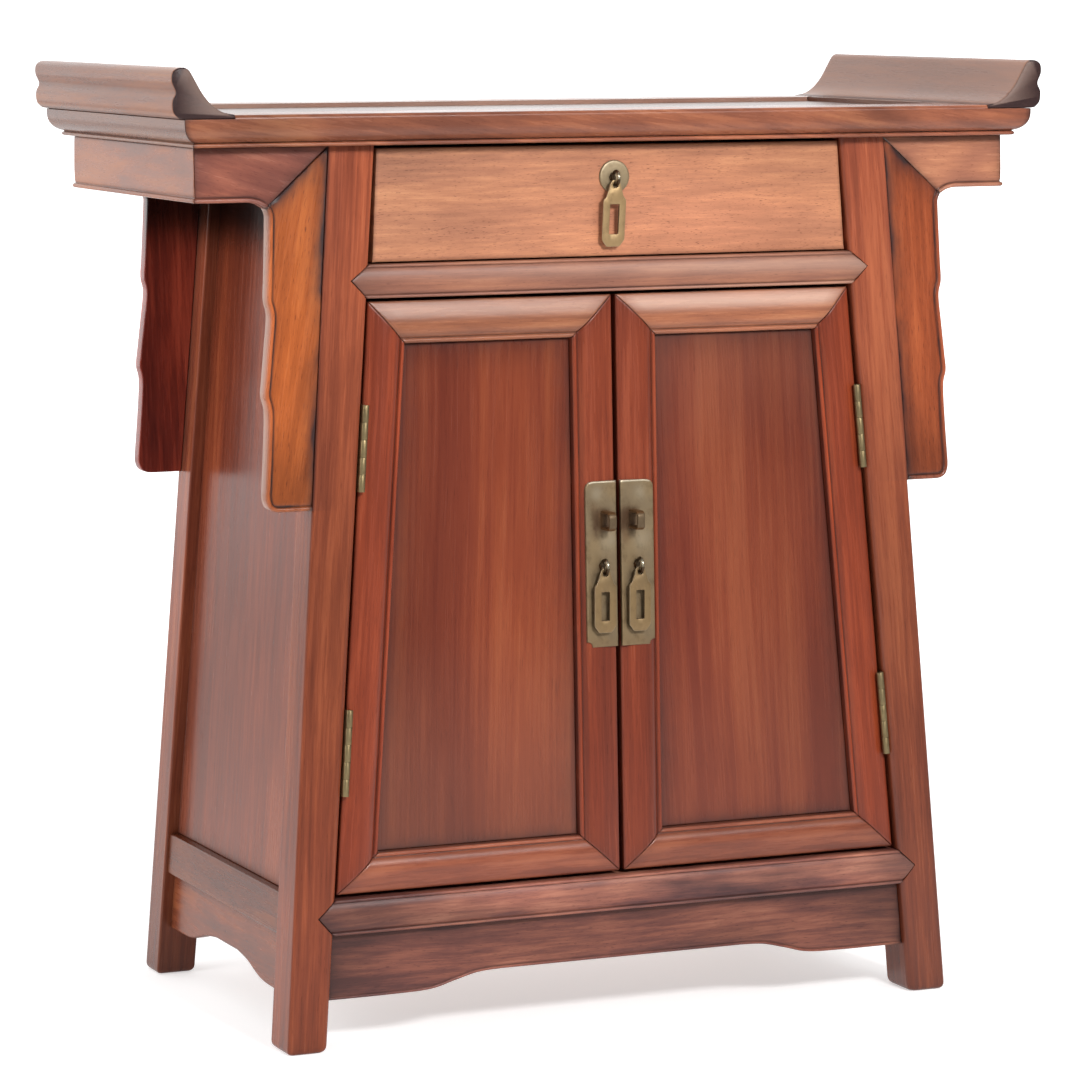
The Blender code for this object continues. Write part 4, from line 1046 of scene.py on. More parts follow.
def apron_chains(end_x, s):
    a, b = MA + mn * 0.2, MB + mn * 0.2
    a = Vector((a.x + 0.3, UNDER_Z - GAP))
    low = [(end_x, APRON_Z)] + [(x, APRON_Z) for x in (380.0, 365.0, 352.0)] + curve(
        [(345.0, APRON_Z), (338.0, 734.9), (331.5, 733.2), tuple(b)], 5)
    top = UNDER_Z - GAP
    return [("free", flip(low, s)), ("seam", flip([tuple(b), tuple(a)], s)), ("seam", flip([tuple(a), (end_x, top)], s)),
            ("seam", flip([(end_x, top), (end_x, APRON_Z)], s))]


def spandrel_edge():
    b = MB - mn * 0.2
    e = curve([tuple(b), (323.2, 725.0), (322.9, 717.0), (324.7, 672.0), (325.6, 652.0), (323.1, 638.0), (325.6, 612.0),
               (328.6, 584.0), (329.8, 570.0), (327.1, 556.0), (328.4, 524.0), (331.0, 487.0)], 8)
    e += curve([(331.0, 487.0), (330.6, 480.5), (328.0, 474.6), (322.6, 471.5), (315.0, 471.0)], 5)[1:]
    return e + [(post_out(471.0) + 0.4, 471.0)]


def spandrel_chains(s):
    e = spandrel_edge()
    za = UNDER_Z - 1.3
    top = (post_out(za) + 0.4, za)
    return [("free", flip(e, s)), ("seam", flip([e[-1], top], s)), ("seam", flip([top, e[0]], s))]


SPAN_LEFT = wood("spandrel_left_wood", tones(2.70, 1.0, 0.84, 0.40, 0.42), 61, band=28, fine=210, along=5.0, warp=0.014,
                 weights=(0.3, 0.32, 0.3, 0.32), pore=0.85, turn=(0.0, 0.10, 0.0), mottle=9.0, blotch=(0.3, 1.6))
SPAN_RIGHT = wood("spandrel_right_wood", tones(2.05, 1.0, 0.78, 0.57, 0.45), 64, band=28, fine=210, along=5.0, warp=0.014,
                  weights=(0.3, 0.32, 0.3, 0.32), pore=0.8, mottle=9.0, blotch=(0.3, 1.6))
APRON_LEFT = wood("apron_left_wood", tones(1.90, 0.98, 1.14, 1.65, 0.5), 67, band=34, fine=170, along=8.0, warp=0.02,
                  weights=(0.26, 0.3, 0.18, 0.3), ring=0.16, ring_scale=12.0, ring_at=(0.015, 0.02), ring_tilt=(0.5, 0.25),
                  turn=(0.0, 0.3, 0.0))
APRON_RIGHT = wood("apron_right_wood", tones(2.75, 1.0, 1.46, 1.89, 0.45), 69, band=34, fine=170, along=8.0, warp=0.02,
                   weights=(0.26, 0.3, 0.18, 0.3), ring=0.14, ring_scale=10.0, ring_at=(0.02, 0.03), ring_tilt=(0.4, -0.25))
END_WOOD = wood("end_apron_wood", tones(1.73, 1.0, 1.08, 1.0, 0.45), 71, band=30, fine=160, along=8.0, warp=0.02,
                weights=(0.26, 0.26, 0.16, 0.5), mottle=14.0, ior=1.34)
# Inner faces of the back spandrels, brighter and redder than the outer faces: painted red bounce light in the shaded
# space between the posts.
SPAN_BACK = wood("spandrel_back_inner_painted_bounce", tones(1.72, 1.1, 0.58, 0.75, 0.8), 74, band=36, fine=180, along=4.0, warp=0.012,
                 weights=(0.32, 0.34, 0.16, 0.28), turn=(0.0, 0.10, 0.0))
SPAN_REAR = wood("spandrel_rear_wood", tones(1.45, 1.0, 1.0, 1.1, 0.6), 76, band=36, fine=180, along=4.0, warp=0.012,
                 weights=(0.32, 0.34, 0.16, 0.28), turn=(0.0, 0.10, 0.0))
for nm, s, sp, ap in (("left", -1, SPAN_LEFT, APRON_LEFT), ("right", 1, SPAN_RIGHT, APRON_RIGHT)):
    # The pale mix on the walls of the apron and spandrel boards is a painted reflection of the bright left. The
    # spandrels' spots darken them at the top, a painted shadow of the overhang, and near their lower end.
    v, f, a = relief(apron_chains(APRON_X - 0.2, s), BEAD, mitred(on_front), 0.0, THICK, grid=8.0, dark=0.85,
                     groove=(4.6, 0.9, 0.8), rim=0.7, soft=3.5, painted_sheen_and_shade=(0.2, 0.3))
    make("apron_front_%s_board" % nm, v, f, ap, "carcass", "apron_front_" + nm, (1, 0, 0), (0, -1, 0.04), a)
    v, f, a = relief(spandrel_chains(s), BEAD, on_front, 0.0, THICK, grid=8.0, dark=1.15, groove=(4.7, 1.0, 1.0), rim=0.7,
                     soft=6.5, painted_sheen_and_shade=(0.30, 0.95 if s < 0 else 0.40), spots=[(s * 310.0, 488.0, 80.0, 46.0, 0.66), (s * 290.0, 765.0, 60.0, 26.0, 0.8),
                                                     (s * 300.0, 705.0, 80.0, 60.0, 0.84 if s < 0 else 1.0)])
    make("spandrel_front_%s_board" % nm, v, f, sp, "carcass", "spandrel_front_" + nm,
         (s * -0.07, 0.04, 1), (0, -1, 0.04), a)
    e = spandrel_edge()
    low = [(APRON_X - 0.2, APRON_Z), (380.0, APRON_Z), (365.0, APRON_Z), (352.0, APRON_Z)] + curve(
        [(345.0, APRON_Z), (338.0, 734.9), (331.5, 733.2), (MB.x, MB.y)], 5) + e[1:]
    top = UNDER_Z - GAP
    corner = (post_out(top) + 0.4, top)
    chains = [("free", flip(low, s)), ("seam", flip([e[-1], corner], s)), ("seam", flip([corner, (APRON_X - 0.2, top)], s)),
              ("seam", flip([(APRON_X - 0.2, top), (APRON_X - 0.2, APRON_Z)], s))]
    v, f, a = relief(chains, BEAD, mitred(on_back), 0.0, THICK, grid=10.0, dark=0.9, groove=(4.6, 1.0, 0.8), rim=0.6, soft=4.0)
    # Darker towards the top on the faces towards the front, under the overhang: painted shadow.
    a["tone"] = [g * (overhang_shadow_paint(q[2]) if q[1] < half_depth(q[2]) - 0.6 * THICK else 1.0) for g, q in zip(a["tone"], v)]
    ob = make("spandrel_back_%s_board" % nm, v, f, SPAN_BACK, "carcass", "spandrel_back_" + nm,
              (s * -0.07, -0.04, 1), (0, 1, 0.04), a)
    ob.data.materials.append(SPAN_REAR)
    for poly in ob.data.polygons:
        poly.material_index = 1 if poly.normal.y > 0.25 else 0
    za, zb = UNDER_Z - GAP, APRON_Z
    ya = [half_depth(za) - 0.3, half_depth(zb) - 0.3]
    box = [(-ya[0], za), (-ya[1], zb), (ya[1], zb), (ya[0], za)]
    chains = [("seam", [box[0], box[1]]), ("free", [box[1], box[2]]), ("seam", [box[2], box[3]]), ("seam", [box[3], box[0]])]

    def on_end(y, z, d, s=s):
        t = d / THICK
        return (s * (APRON_X - d), y * (1.0 - t * (THICK + 0.3) / 168.0), z)
    v, f, a = relief(chains, BEAD, on_end, 0.0, THICK, grid=9.0, dark=0.12, groove=(4.6, 0.8, 0.55), rim=0.2, soft=2.0, chamfer=0.3)
    # Dark band along the top edge, under the top's bead: a dark joint and a painted shadow.
    a["patina_and_shade"] = [max(g, 0.85 * math.exp(-max(0.0, za - q[2]) / 1.1)) for g, q in zip(a["patina_and_shade"], v)]
    make("end_apron_%s_board" % nm, v, f, END_WOOD, "carcass", "end_apron_" + nm, (0, 1, 0), (s, 0, 0), a)

# --- Drawer ---------------------------------------------------------------------------------------
z0, z1 = 681.7, 779.0
box = [(228.0, z0), (222.3, z1), (-222.3, z1), (-228.0, z0)]
# A paler middle is a painted reflection; a darker band along the top is a painted shadow of the top.
v, f, a = relief([("free", [box[k], box[(k + 1) % 4]]) for k in range(4)], FLAT, on_front, 4.0, 20.0, grid=9.0,
                 groove=(0.2, 0.9, 0.45),
                 spots=[(80.0, 708.0, 98.0, 32.0, 1.29), (-205.0, 765.0, 70.0, 30.0, 0.80), (190.0, 757.0, 75.0, 26.0, 0.84),
                        (-120.0, 745.0, 40.0, 22.0, 0.92), (0.0, 776.0, 230.0, 9.0, 0.82), (-40.0, 752.0, 30.0, 18.0, 0.9),
                        (-195.0, 708.0, 75.0, 30.0, 0.87)])
DRAWER_WOOD = wood("drawer_front_wood", tones(3.12, 1.0, 1.46, 1.68, 0.36), 81, band=44, fine=260, along=9.0, warp=0.005,
                   weights=(0.24, 0.32, 0.24, 0.4), pore=0.9, rough=(0.32, 0.44), mottle=7.0)
make("drawer_front_board", v, f, DRAWER_WOOD, "drawer", "drawer_front", (1, 0, 0), (0, -1, 0.04), a)

# --- Doors ------------------------------------------------------------------------------------------
# Frame moulding from the outer to the inner edge: convex face, groove, bead.
MOULD = [(0.0, -3.4), (0.003, -2.7), (0.010, -2.05), (0.024, -1.6), (0.05, -1.22), (0.085, -0.9), (0.12, -0.55),
         (0.16, -0.18), (0.20, 0.18), (0.24, 0.54), (0.28, 0.88), (0.32, 1.2), (0.36, 1.5), (0.40, 1.76), (0.44, 1.97),
         (0.48, 2.12), (0.52, 2.2), (0.56, 2.2), (0.60, 2.1), (0.64, 1.9), (0.68, 1.6), (0.72, 1.2), (0.755, 0.72),
         (0.785, 0.2), (0.81, -0.32), (0.832, -0.9), (0.848, -1.5), (0.860, -1.95), (0.870, -2.05), (0.879, -1.85),
         (0.888, -1.35), (0.900, -0.95), (0.915, -0.7), (0.932, -0.6), (0.950, -0.68), (0.966, -0.95), (0.980, -1.5),
         (0.990, -2.2), (0.996, -3.0), (1.0, -4.0)]


def door_edge(z):
    return post_in(z) - 2.6


def member(O0, O1, I0, I1, d_face, d_back, sheen_paint=0.0, shade=1.0):
    L = math.hypot(O1[0] - O0[0], O1[1] - O0[1])
    k = max(4, round(L / 11.0))
    us = [0.0, 0.5 / L, 1.2 / L, 3.0 / L, 6.0 / L]
    us = us + [6.0 / L + (1.0 - 12.0 / L) * j / k for j in range(1, k)] + [1.0 - u for u in us[::-1]]
    rows, pat, wr, tn, hz = [], [], [], [], []
    for u in us:
        near = min(u, 1.0 - u) * L
        row = []
        for v, h in MOULD:
            o = (O0[0] + (O1[0] - O0[0]) * u, O0[1] + (O1[1] - O0[1]) * u)
            i = (I0[0] + (I1[0] - I0[0]) * u, I0[1] + (I1[1] - I0[1]) * u)
            x, z = o[0] + (i[0] - o[0]) * v, o[1] + (i[1] - o[1]) * v
            row.append(on_front(x, z, d_face - h + 0.55 * max(0.0, 1.0 - near / 0.8)))
            g = 0.95 * math.exp(-((v - 0.866) / 0.014) ** 2)
            g = max(g, 0.75 * math.exp(-near / 1.1), 0.32 * math.exp(-near / 7.0), 0.55 * math.exp(-v / 0.03))
            g = max(g, 0.8 * (v > 0.985), 0.30 * math.exp(-((v - 0.80) / 0.05) ** 2))
            pat.append(g)
            wr.append(0.9 * math.exp(-((v - 0.93) / 0.02) ** 2))
            tn.append(shade)
            # Pale band on the outer part of the face: a painted highlight.
            hz.append(sheen_paint * math.exp(-((v - 0.22) / 0.17) ** 2) * min(1.0, near / 14.0))
        for (p, d) in ((I0, I1), (O0, O1)):
            x, z = p[0] + (d[0] - p[0]) * u, p[1] + (d[1] - p[1]) * u
            row.append(on_front(x, z, d_back))
            pat.append(0.3)
            wr.append(0.0)
            tn.append(1.0)
            hz.append(0.0)
        rows.append(row)
    v, f = loops(rows)
    return v, f, {"patina_and_shade": pat, "wear_and_highlight": wr, "tone": tn, "painted_sheen_and_shade": hz}


def shrink(poly, g):
    area = sum(a[0] * b[1] - b[0] * a[1] for a, b in zip(poly, poly[1:] + poly[:1]))
    s = 1.0 if area > 0 else -1.0
    lines = []
    for a, b in zip(poly, poly[1:] + poly[:1]):
        d = Vector((b[0] - a[0], b[1] - a[1])).normalized()
        lines.append((Vector(a) + Vector((-d.y, d.x)) * s * g, d))
    out = []
    for i in range(len(poly)):
        (p, d), (q, e) = lines[i - 1], lines[i]
        t = ((q - p).x * e.y - (q - p).y * e.x) / (d.x * e.y - d.y * e.x)
        out.append(tuple(p + d * t))
    return out


STILE = wood("door_stile_wood", tones(1.41, 1.06, 0.65, 0.54, 0.45), 91, band=44, fine=230, along=3.2, warp=0.006,
             weights=(0.26, 0.32, 0.2, 0.3), mottle=8.0)
STILE_B = wood("door_meeting_wood", tones(1.14, 1.05, 0.68, 0.62, 0.45), 93, band=44, fine=230, along=3.2, warp=0.006,
               weights=(0.26, 0.32, 0.2, 0.3), mottle=8.0)
TOP_RAIL = wood("door_top_rail_wood", tones(2.05, 1.0, 1.28, 1.45, 0.4), 96, band=44, fine=230, along=7.0, warp=0.008,
                weights=(0.26, 0.34, 0.2, 0.3), rough=(0.22, 0.30), pale=(0.55, 0.35, 0.26))
LOW_RAIL = wood("door_low_rail_wood", tones(1.40, 1.02, 1.0, 1.2, 0.5), 98, band=44, fine=220, along=7.0, warp=0.010,
                weights=(0.26, 0.3, 0.2, 0.4), mottle=14.0)
DOOR_PANEL_L = wood("door_panel_left_wood", tones(1.12, 1.05, 0.72, 0.62, 0.42, 1.35), 101, band=32, fine=250, along=2.2, warp=0.007,
                    weights=(0.36, 0.17, 0.20, 0.36), mottle=4.5)
DOOR_PANEL_R = wood("door_panel_right_wood", tones(1.08, 1.05, 0.74, 0.73, 0.42, 1.35), 104, band=32, fine=250, along=2.2, warp=0.009,
                    weights=(0.36, 0.17, 0.20, 0.36), mottle=4.5)
INNER = wood("inner_wood_plain", tones(1.9, 0.9, 1.3, 1.5, 0.5), 111, band=14, fine=110, along=1.0, attr=False,
             rough=(0.5, 0.65), bump=0.2, turn=(0.0, math.pi / 2, 0.0))
INNER_Y = wood("inner_wood_deep", tones(1.9, 0.9, 1.3, 1.5, 0.5), 114, band=14, fine=110, along=1.0, attr=False,
               rough=(0.5, 0.65), bump=0.2, turn=(math.pi / 2, 0.0, 0.0))
for nm, s in (("left", -1), ("right", 1)):
    body = nm + "_door"
    z0, z1 = DOOR_Z
    q0, q1 = PANEL_Z
    oh0, oh1 = (door_edge(z0), z0), (door_edge(z1), z1)
    om0, om1 = (1.75, z0), (1.75, z1)
    ih0, ih1 = (door_edge(q0) - 37.0, q0), (door_edge(q1) - 37.0, q1)
    im0, im1 = (41.0, q0), (41.0, q1)
    for part, poly, mat, grain in (("hinge_stile", [oh0, oh1, ih1, ih0], STILE, (s * -0.079, 0.04, 1)),
                                   ("meeting_stile", [om0, om1, im1, im0], STILE_B, (0, 0.04, 1)),
                                   ("top_rail", [oh1, om1, im1, ih1], TOP_RAIL, (1, 0, 0)),
                                   ("bottom_rail", [oh0, om0, im0, ih0], LOW_RAIL, (1, 0, 0))):
        p = flip(shrink(poly, 0.18), s)
        # The top rails get a painted highlight on their upper part.
        sheen_paint = (0.36 if s < 0 else 0.76) if part == "top_rail" else 0.0
        shade = {"top_rail": (0.90, 1.08), "bottom_rail": (1.05, 0.90)}.get(part, (1.0, 1.0))[s > 0]
        v, f, a = member(p[0], p[1], p[3], p[2], 5.0, 27.0, sheen_paint, shade)
        make("%s_%s_moulded" % (body, part), v, f, mat, body, "%s_%s" % (body, part), grain, (0, -1, 0.04), a)
    p = flip(shrink([ih0, ih1, im1, im0], 0.25), s)
    chains = [("seam", [p[k], p[(k + 1) % 4]]) for k in range(4)]
    # Darker along the top, under the top rail: painted shadow.
    v, f, a = relief(chains, FLAT, on_front, 12.0, 21.0, grid=14.0, dark=0.85, soft=6.0,
                     spots=[(s * 120.0, 606.0, 200.0, 18.0, 0.82)] + (
                         [(-105.0, 400.0, 42.0, 260.0, 1.14), (-205.0, 330.0, 40.0, 200.0, 0.84), (-140.0, 190.0, 110.0, 36.0, 0.88)]
                         if s < 0 else
                         [(80.0, 330.0, 46.0, 220.0, 1.08), (165.0, 560.0, 60.0, 90.0, 0.86), (205.0, 300.0, 40.0, 120.0, 0.88)]))
    # Paler low down, and on the right door also high up: painted sheen.
    a["painted_sheen_and_shade"] = [(0.09 if s < 0 else 0.04) * min(1.0, max(0.0, (360.0 - q[2]) / 120.0))
                 + (0.05 * min(1.0, max(0.0, (q[2] - 500.0) / 80.0)) if s > 0 else 0.0) for q in v]
    make(body + "_panel_board", v, f, DOOR_PANEL_L if s < 0 else DOOR_PANEL_R, body, body + "_panel",
         (s * -0.03, 0.04, 1), (0, -1, 0.04), a)

# --- Brass fittings ------------------------------------------------------------------------------------
PLATE = brass("plate_brass", (0.240, 0.166, 0.086), (0.172, 0.124, 0.070), (0.085, 0.049, 0.020), 1, blot=0.6, metal=0.6,
              grime_and_shade=(0.056, 0.0245, 0.008))
ROSETTE = brass("rosette_brass", (0.276, 0.206, 0.118), (0.228, 0.174, 0.104), (0.124, 0.076, 0.037), 6, blot=0.45, metal=0.6)
DROP = brass("drop_brass", (0.232, 0.150, 0.068), (0.175, 0.115, 0.054), (0.095, 0.052, 0.021), 2, blot=0.4, metal=0.6)
DROP_BRIGHT = brass("drop_bright_brass", (0.360, 0.236, 0.110), (0.275, 0.184, 0.089), (0.150, 0.083, 0.034), 7, blot=0.4, metal=0.6)
HINGE = brass("hinge_brass", (0.27, 0.205, 0.105), (0.20, 0.155, 0.085), (0.10, 0.06, 0.028), 3, rough=(0.42, 0.56))
EYE = brass("eye_brass", (0.46, 0.41, 0.30), (0.30, 0.265, 0.18), (0.10, 0.06, 0.03), 4, rough=(0.24, 0.34), blot=0.6)
STAPLE = brass("staple_brass", (0.104, 0.070, 0.038), (0.080, 0.054, 0.029), (0.045, 0.025, 0.010), 5, rough=(0.46, 0.60), blot=0.5,
               metal=0.7, grime_and_shade=(0.135, 0.064, 0.023))


def turned(c, axis, up, pts, n=28):
    # A solid of revolution: pts are (radius, distance along the axis).
    ax, u = Vector(axis).normalized(), Vector(up)
    u = (u - ax * u.dot(ax)).normalized()
    w = ax.cross(u)
    rows = [[tuple(Vector(c) + ax * h + (u * math.cos(2 * math.pi * i / n) + w * math.sin(2 * math.pi * i / n)) * r)
             for i in range(n)] for r, h in pts]
    return loops(rows)


def torus(c, axis, R, r, a0=0.0, a1=2 * math.pi, major=40, minor=14, up=(0, 0, 1)):
    ax, u = Vector(axis).normalized(), Vector(up)
    u = (u - ax * u.dot(ax)).normalized()
    w = ax.cross(u)
    full = abs(a1 - a0 - 2 * math.pi) < 1e-6
    rows = []
    for i in range(major if full else major + 1):
        a = a0 + (a1 - a0) * i / major
        d = u * math.cos(a) + w * math.sin(a)
        rows.append([tuple(Vector(c) + d * (R + r * math.cos(b)) + ax * (r * math.sin(b)))
                     for b in (2 * math.pi * k / minor for k in range(minor))])
    if full:
        rows.append(rows[0])
    v, f = loops(rows, caps=not full)
    return v, f


def face_y(z, d):
    return -half_depth(z) + d


def eye_piece(name, c, plate_y, body):
    # Split eye: a ring of round wire on a short tapered shank.
    ring = torus(c, (1, 0, 0), 6.0, 1.5)
    shank = turned((c[0], plate_y, c[2]), (0, -1, 0), (0, 0, 1),
                   [(3.3, 0.0), (3.3, 0.35), (2.7, 0.8), (2.1, 1.2), (1.75, 1.9), (1.7, abs(c[1] - plate_y) - 5.2)], 24)
    v, f, a = join((ring[0], ring[1], None), (shank[0], shank[1], None))
    # Dark on its back and lower half, with a pale spot at the front top: painted shade and a painted highlight.
    a["patina_and_shade"] = [0.92 if p[1] > c[1] - 3.4 or p[2] < c[2] - 1.0 else 0.12 for p in v]
    a["wear_and_highlight"] = [0.5 if p[1] < c[1] - 4.6 and p[2] > c[2] else 0.0 for p in v]
    return make(name, v, f, EYE, body, None, (0, 0, 1), (0, -1, 0), a, sharp=50)


def drop_piece(name, c, width, bottom, shoulder, slot, body, node, lean=0.0, shift=0.0, swing=0.0, mat=DROP):
    # Flat slotted drop with rounded arrises, hung by a hole in its neck.
    hole_z = c[2] - 6.0
    w = width / 2
    half = curve([(0.0, hole_z + 4.9), (2.3, hole_z + 4.4), (4.0, hole_z + 3.0), (5.0, hole_z + 0.8), (5.5, hole_z - 1.6)], 4)
    half += [(w * 0.73, shoulder + 1.8), (w * 0.78, shoulder + 0.5), (w - 0.8, shoulder - 1.0), (w - 0.2, shoulder - 1.9),
             (w, shoulder - 3.0), (w, bottom + 6.8)]
    half += [(w - 0.35, bottom + 5.6), (w - 4.2, bottom + 0.5), (w - 5.4, bottom)]
    ring = half + [(-x, z) for x, z in half[::-1] if x > 0.01]
    ring = densify(ring + [ring[0]], 2.5)[:-1]
    hole = [(2.6 * math.cos(2 * math.pi * i / 20), hole_z + 2.6 * math.sin(2 * math.pi * i / 20)) for i in range(20)]
    sw, s0, s1 = slot
    win = densify([(-sw / 2, s0), (sw / 2, s0), (sw / 2, s1), (-sw / 2, s1), (-sw / 2, s0)], 3.0)[:-1]
    t, b = 1.1, 0.42
    outlines = [ring, hole, win]
    area = lambda p: sum(m[0] * n[1] - n[0] * m[1] for m, n in zip(p, p[1:] + p[:1]))
    verts, faces, wear_and_highlight, pat = [], [], [], []
    levels = [(-t, b), (-t + b * 0.35, b * 0.30), (-t + b, 0.0), (t - b, 0.0), (t - b * 0.35, b * 0.30), (t, b)]
    start = []
    for k, pts in enumerate(outlines):
        sg = 1.0 if area(pts) > 0 else -1.0
        nr = normals_of(pts, True, sg if k == 0 else -sg)
        rows = []
        for y, g in levels:
            rows.append(len(verts))
            for p, q in zip(pts, nr):
                fall = c[2] - (p[1] + q[1] * g)
                verts.append((c[0] + shift - swing * fall + p[0] + q[0] * g, c[1] + y + lean * fall, p[1] + q[1] * g))
                wear_and_highlight.append(0.7 if 0.0 < g < b and k == 0 else 0.0)
                pat.append(0.75 if k and abs(y) < t - 0.1 else 0.0)
        n = len(pts)
        for r in range(len(levels) - 1):
            for i in range(n):
                j = (i + 1) % n
                faces.append((rows[r] + i, rows[r] + j, rows[r + 1] + j, rows[r + 1] + i))
        start.append((rows[0], rows[-1], n))
    for which in (0, 1):
        idx, edges, flat = [], [], []
        for (first, last_, n) in start:
            base = first if which == 0 else last_
            k = len(flat)
            flat += [Vector((verts[base + i][0], verts[base + i][2])) for i in range(n)]
            idx += [base + i for i in range(n)]
            edges += [(k + i, k + (i + 1) % n) for i in range(n)]
        got = delaunay_2d_cdt(flat, edges, [], 0, 1e-6, True)
        src = [o[0] for o in got[3]]
        mid = [sum((got[0][i] for i in tri), Vector((0.0, 0.0))) / 3 for tri in got[2]]
        ro = [(verts[start[0][0] + i][0], verts[start[0][0] + i][2]) for i in range(start[0][2])]
        rh = [(verts[start[1][0] + i][0], verts[start[1][0] + i][2]) for i in range(start[1][2])]
        rw = [(verts[start[2][0] + i][0], verts[start[2][0] + i][2]) for i in range(start[2][2])]
        good = inside(mid, ro) & ~inside(mid, rh) & ~inside(mid, rw)
        for tri, ok in zip(got[2], good):
            if ok:
                faces.append(tuple(idx[src[i]] for i in tri))
    return make(name, verts, faces, mat, body, node, (0, 0, 1), (0, -1, 0),
                {"wear_and_highlight": wear_and_highlight, "patina_and_shade": pat, "tone": [1.0] * len(verts)}, sharp=40)


# Drawer: round rosette, eye and drop.
pd0, pd1 = 2.1, 3.7
prof = [(14.4, 3.7), (14.4, 3.0), (14.1, 2.45), (13.5, 2.15), (12.6, 2.05), (11.0, 1.95), (8.0, 1.8), (4.0, 1.65), (0.02, 1.6)]
n = 48
rows = [[on_front(1.2 + r * math.cos(2 * math.pi * i / n), 751.0 + r * math.sin(2 * math.pi * i / n), d) for i in range(n)]
        for r, d in prof]
v, f = loops(rows)
pat = [0.35 * math.exp(-((r - 4.0) / 2.5) ** 2) for r, d in prof for i in range(n)]
# Paler on the upper part of the rim only: a painted highlight.
wr = [0.12 if 12.0 < r < 14.2 and math.sin(2 * math.pi * i / n) > 0.4 else 0.0 for r, d in prof for i in range(n)]
make("drawer_rosette", v, f, ROSETTE, "drawer", "drawer_pull_plate", (0, 0, 1), (0, -1, 0),
     {"patina_and_shade": pat, "wear_and_highlight": wr, "tone": [1.0] * len(v)}, sharp=50)
c = (-1.2, face_y(750.0, pd0) - 8.0, 750.0)
eye_piece("drawer_pull_eye", c, face_y(750.0, 1.65), "drawer")
drop_piece("drawer_drop", c, 21.6, 690.0, 733.0, (8.6, 701.0, 727.0), "drawer_pull", "drawer_pull_drop", 0.03, -0.4, 0.035,
           DROP_BRIGHT)

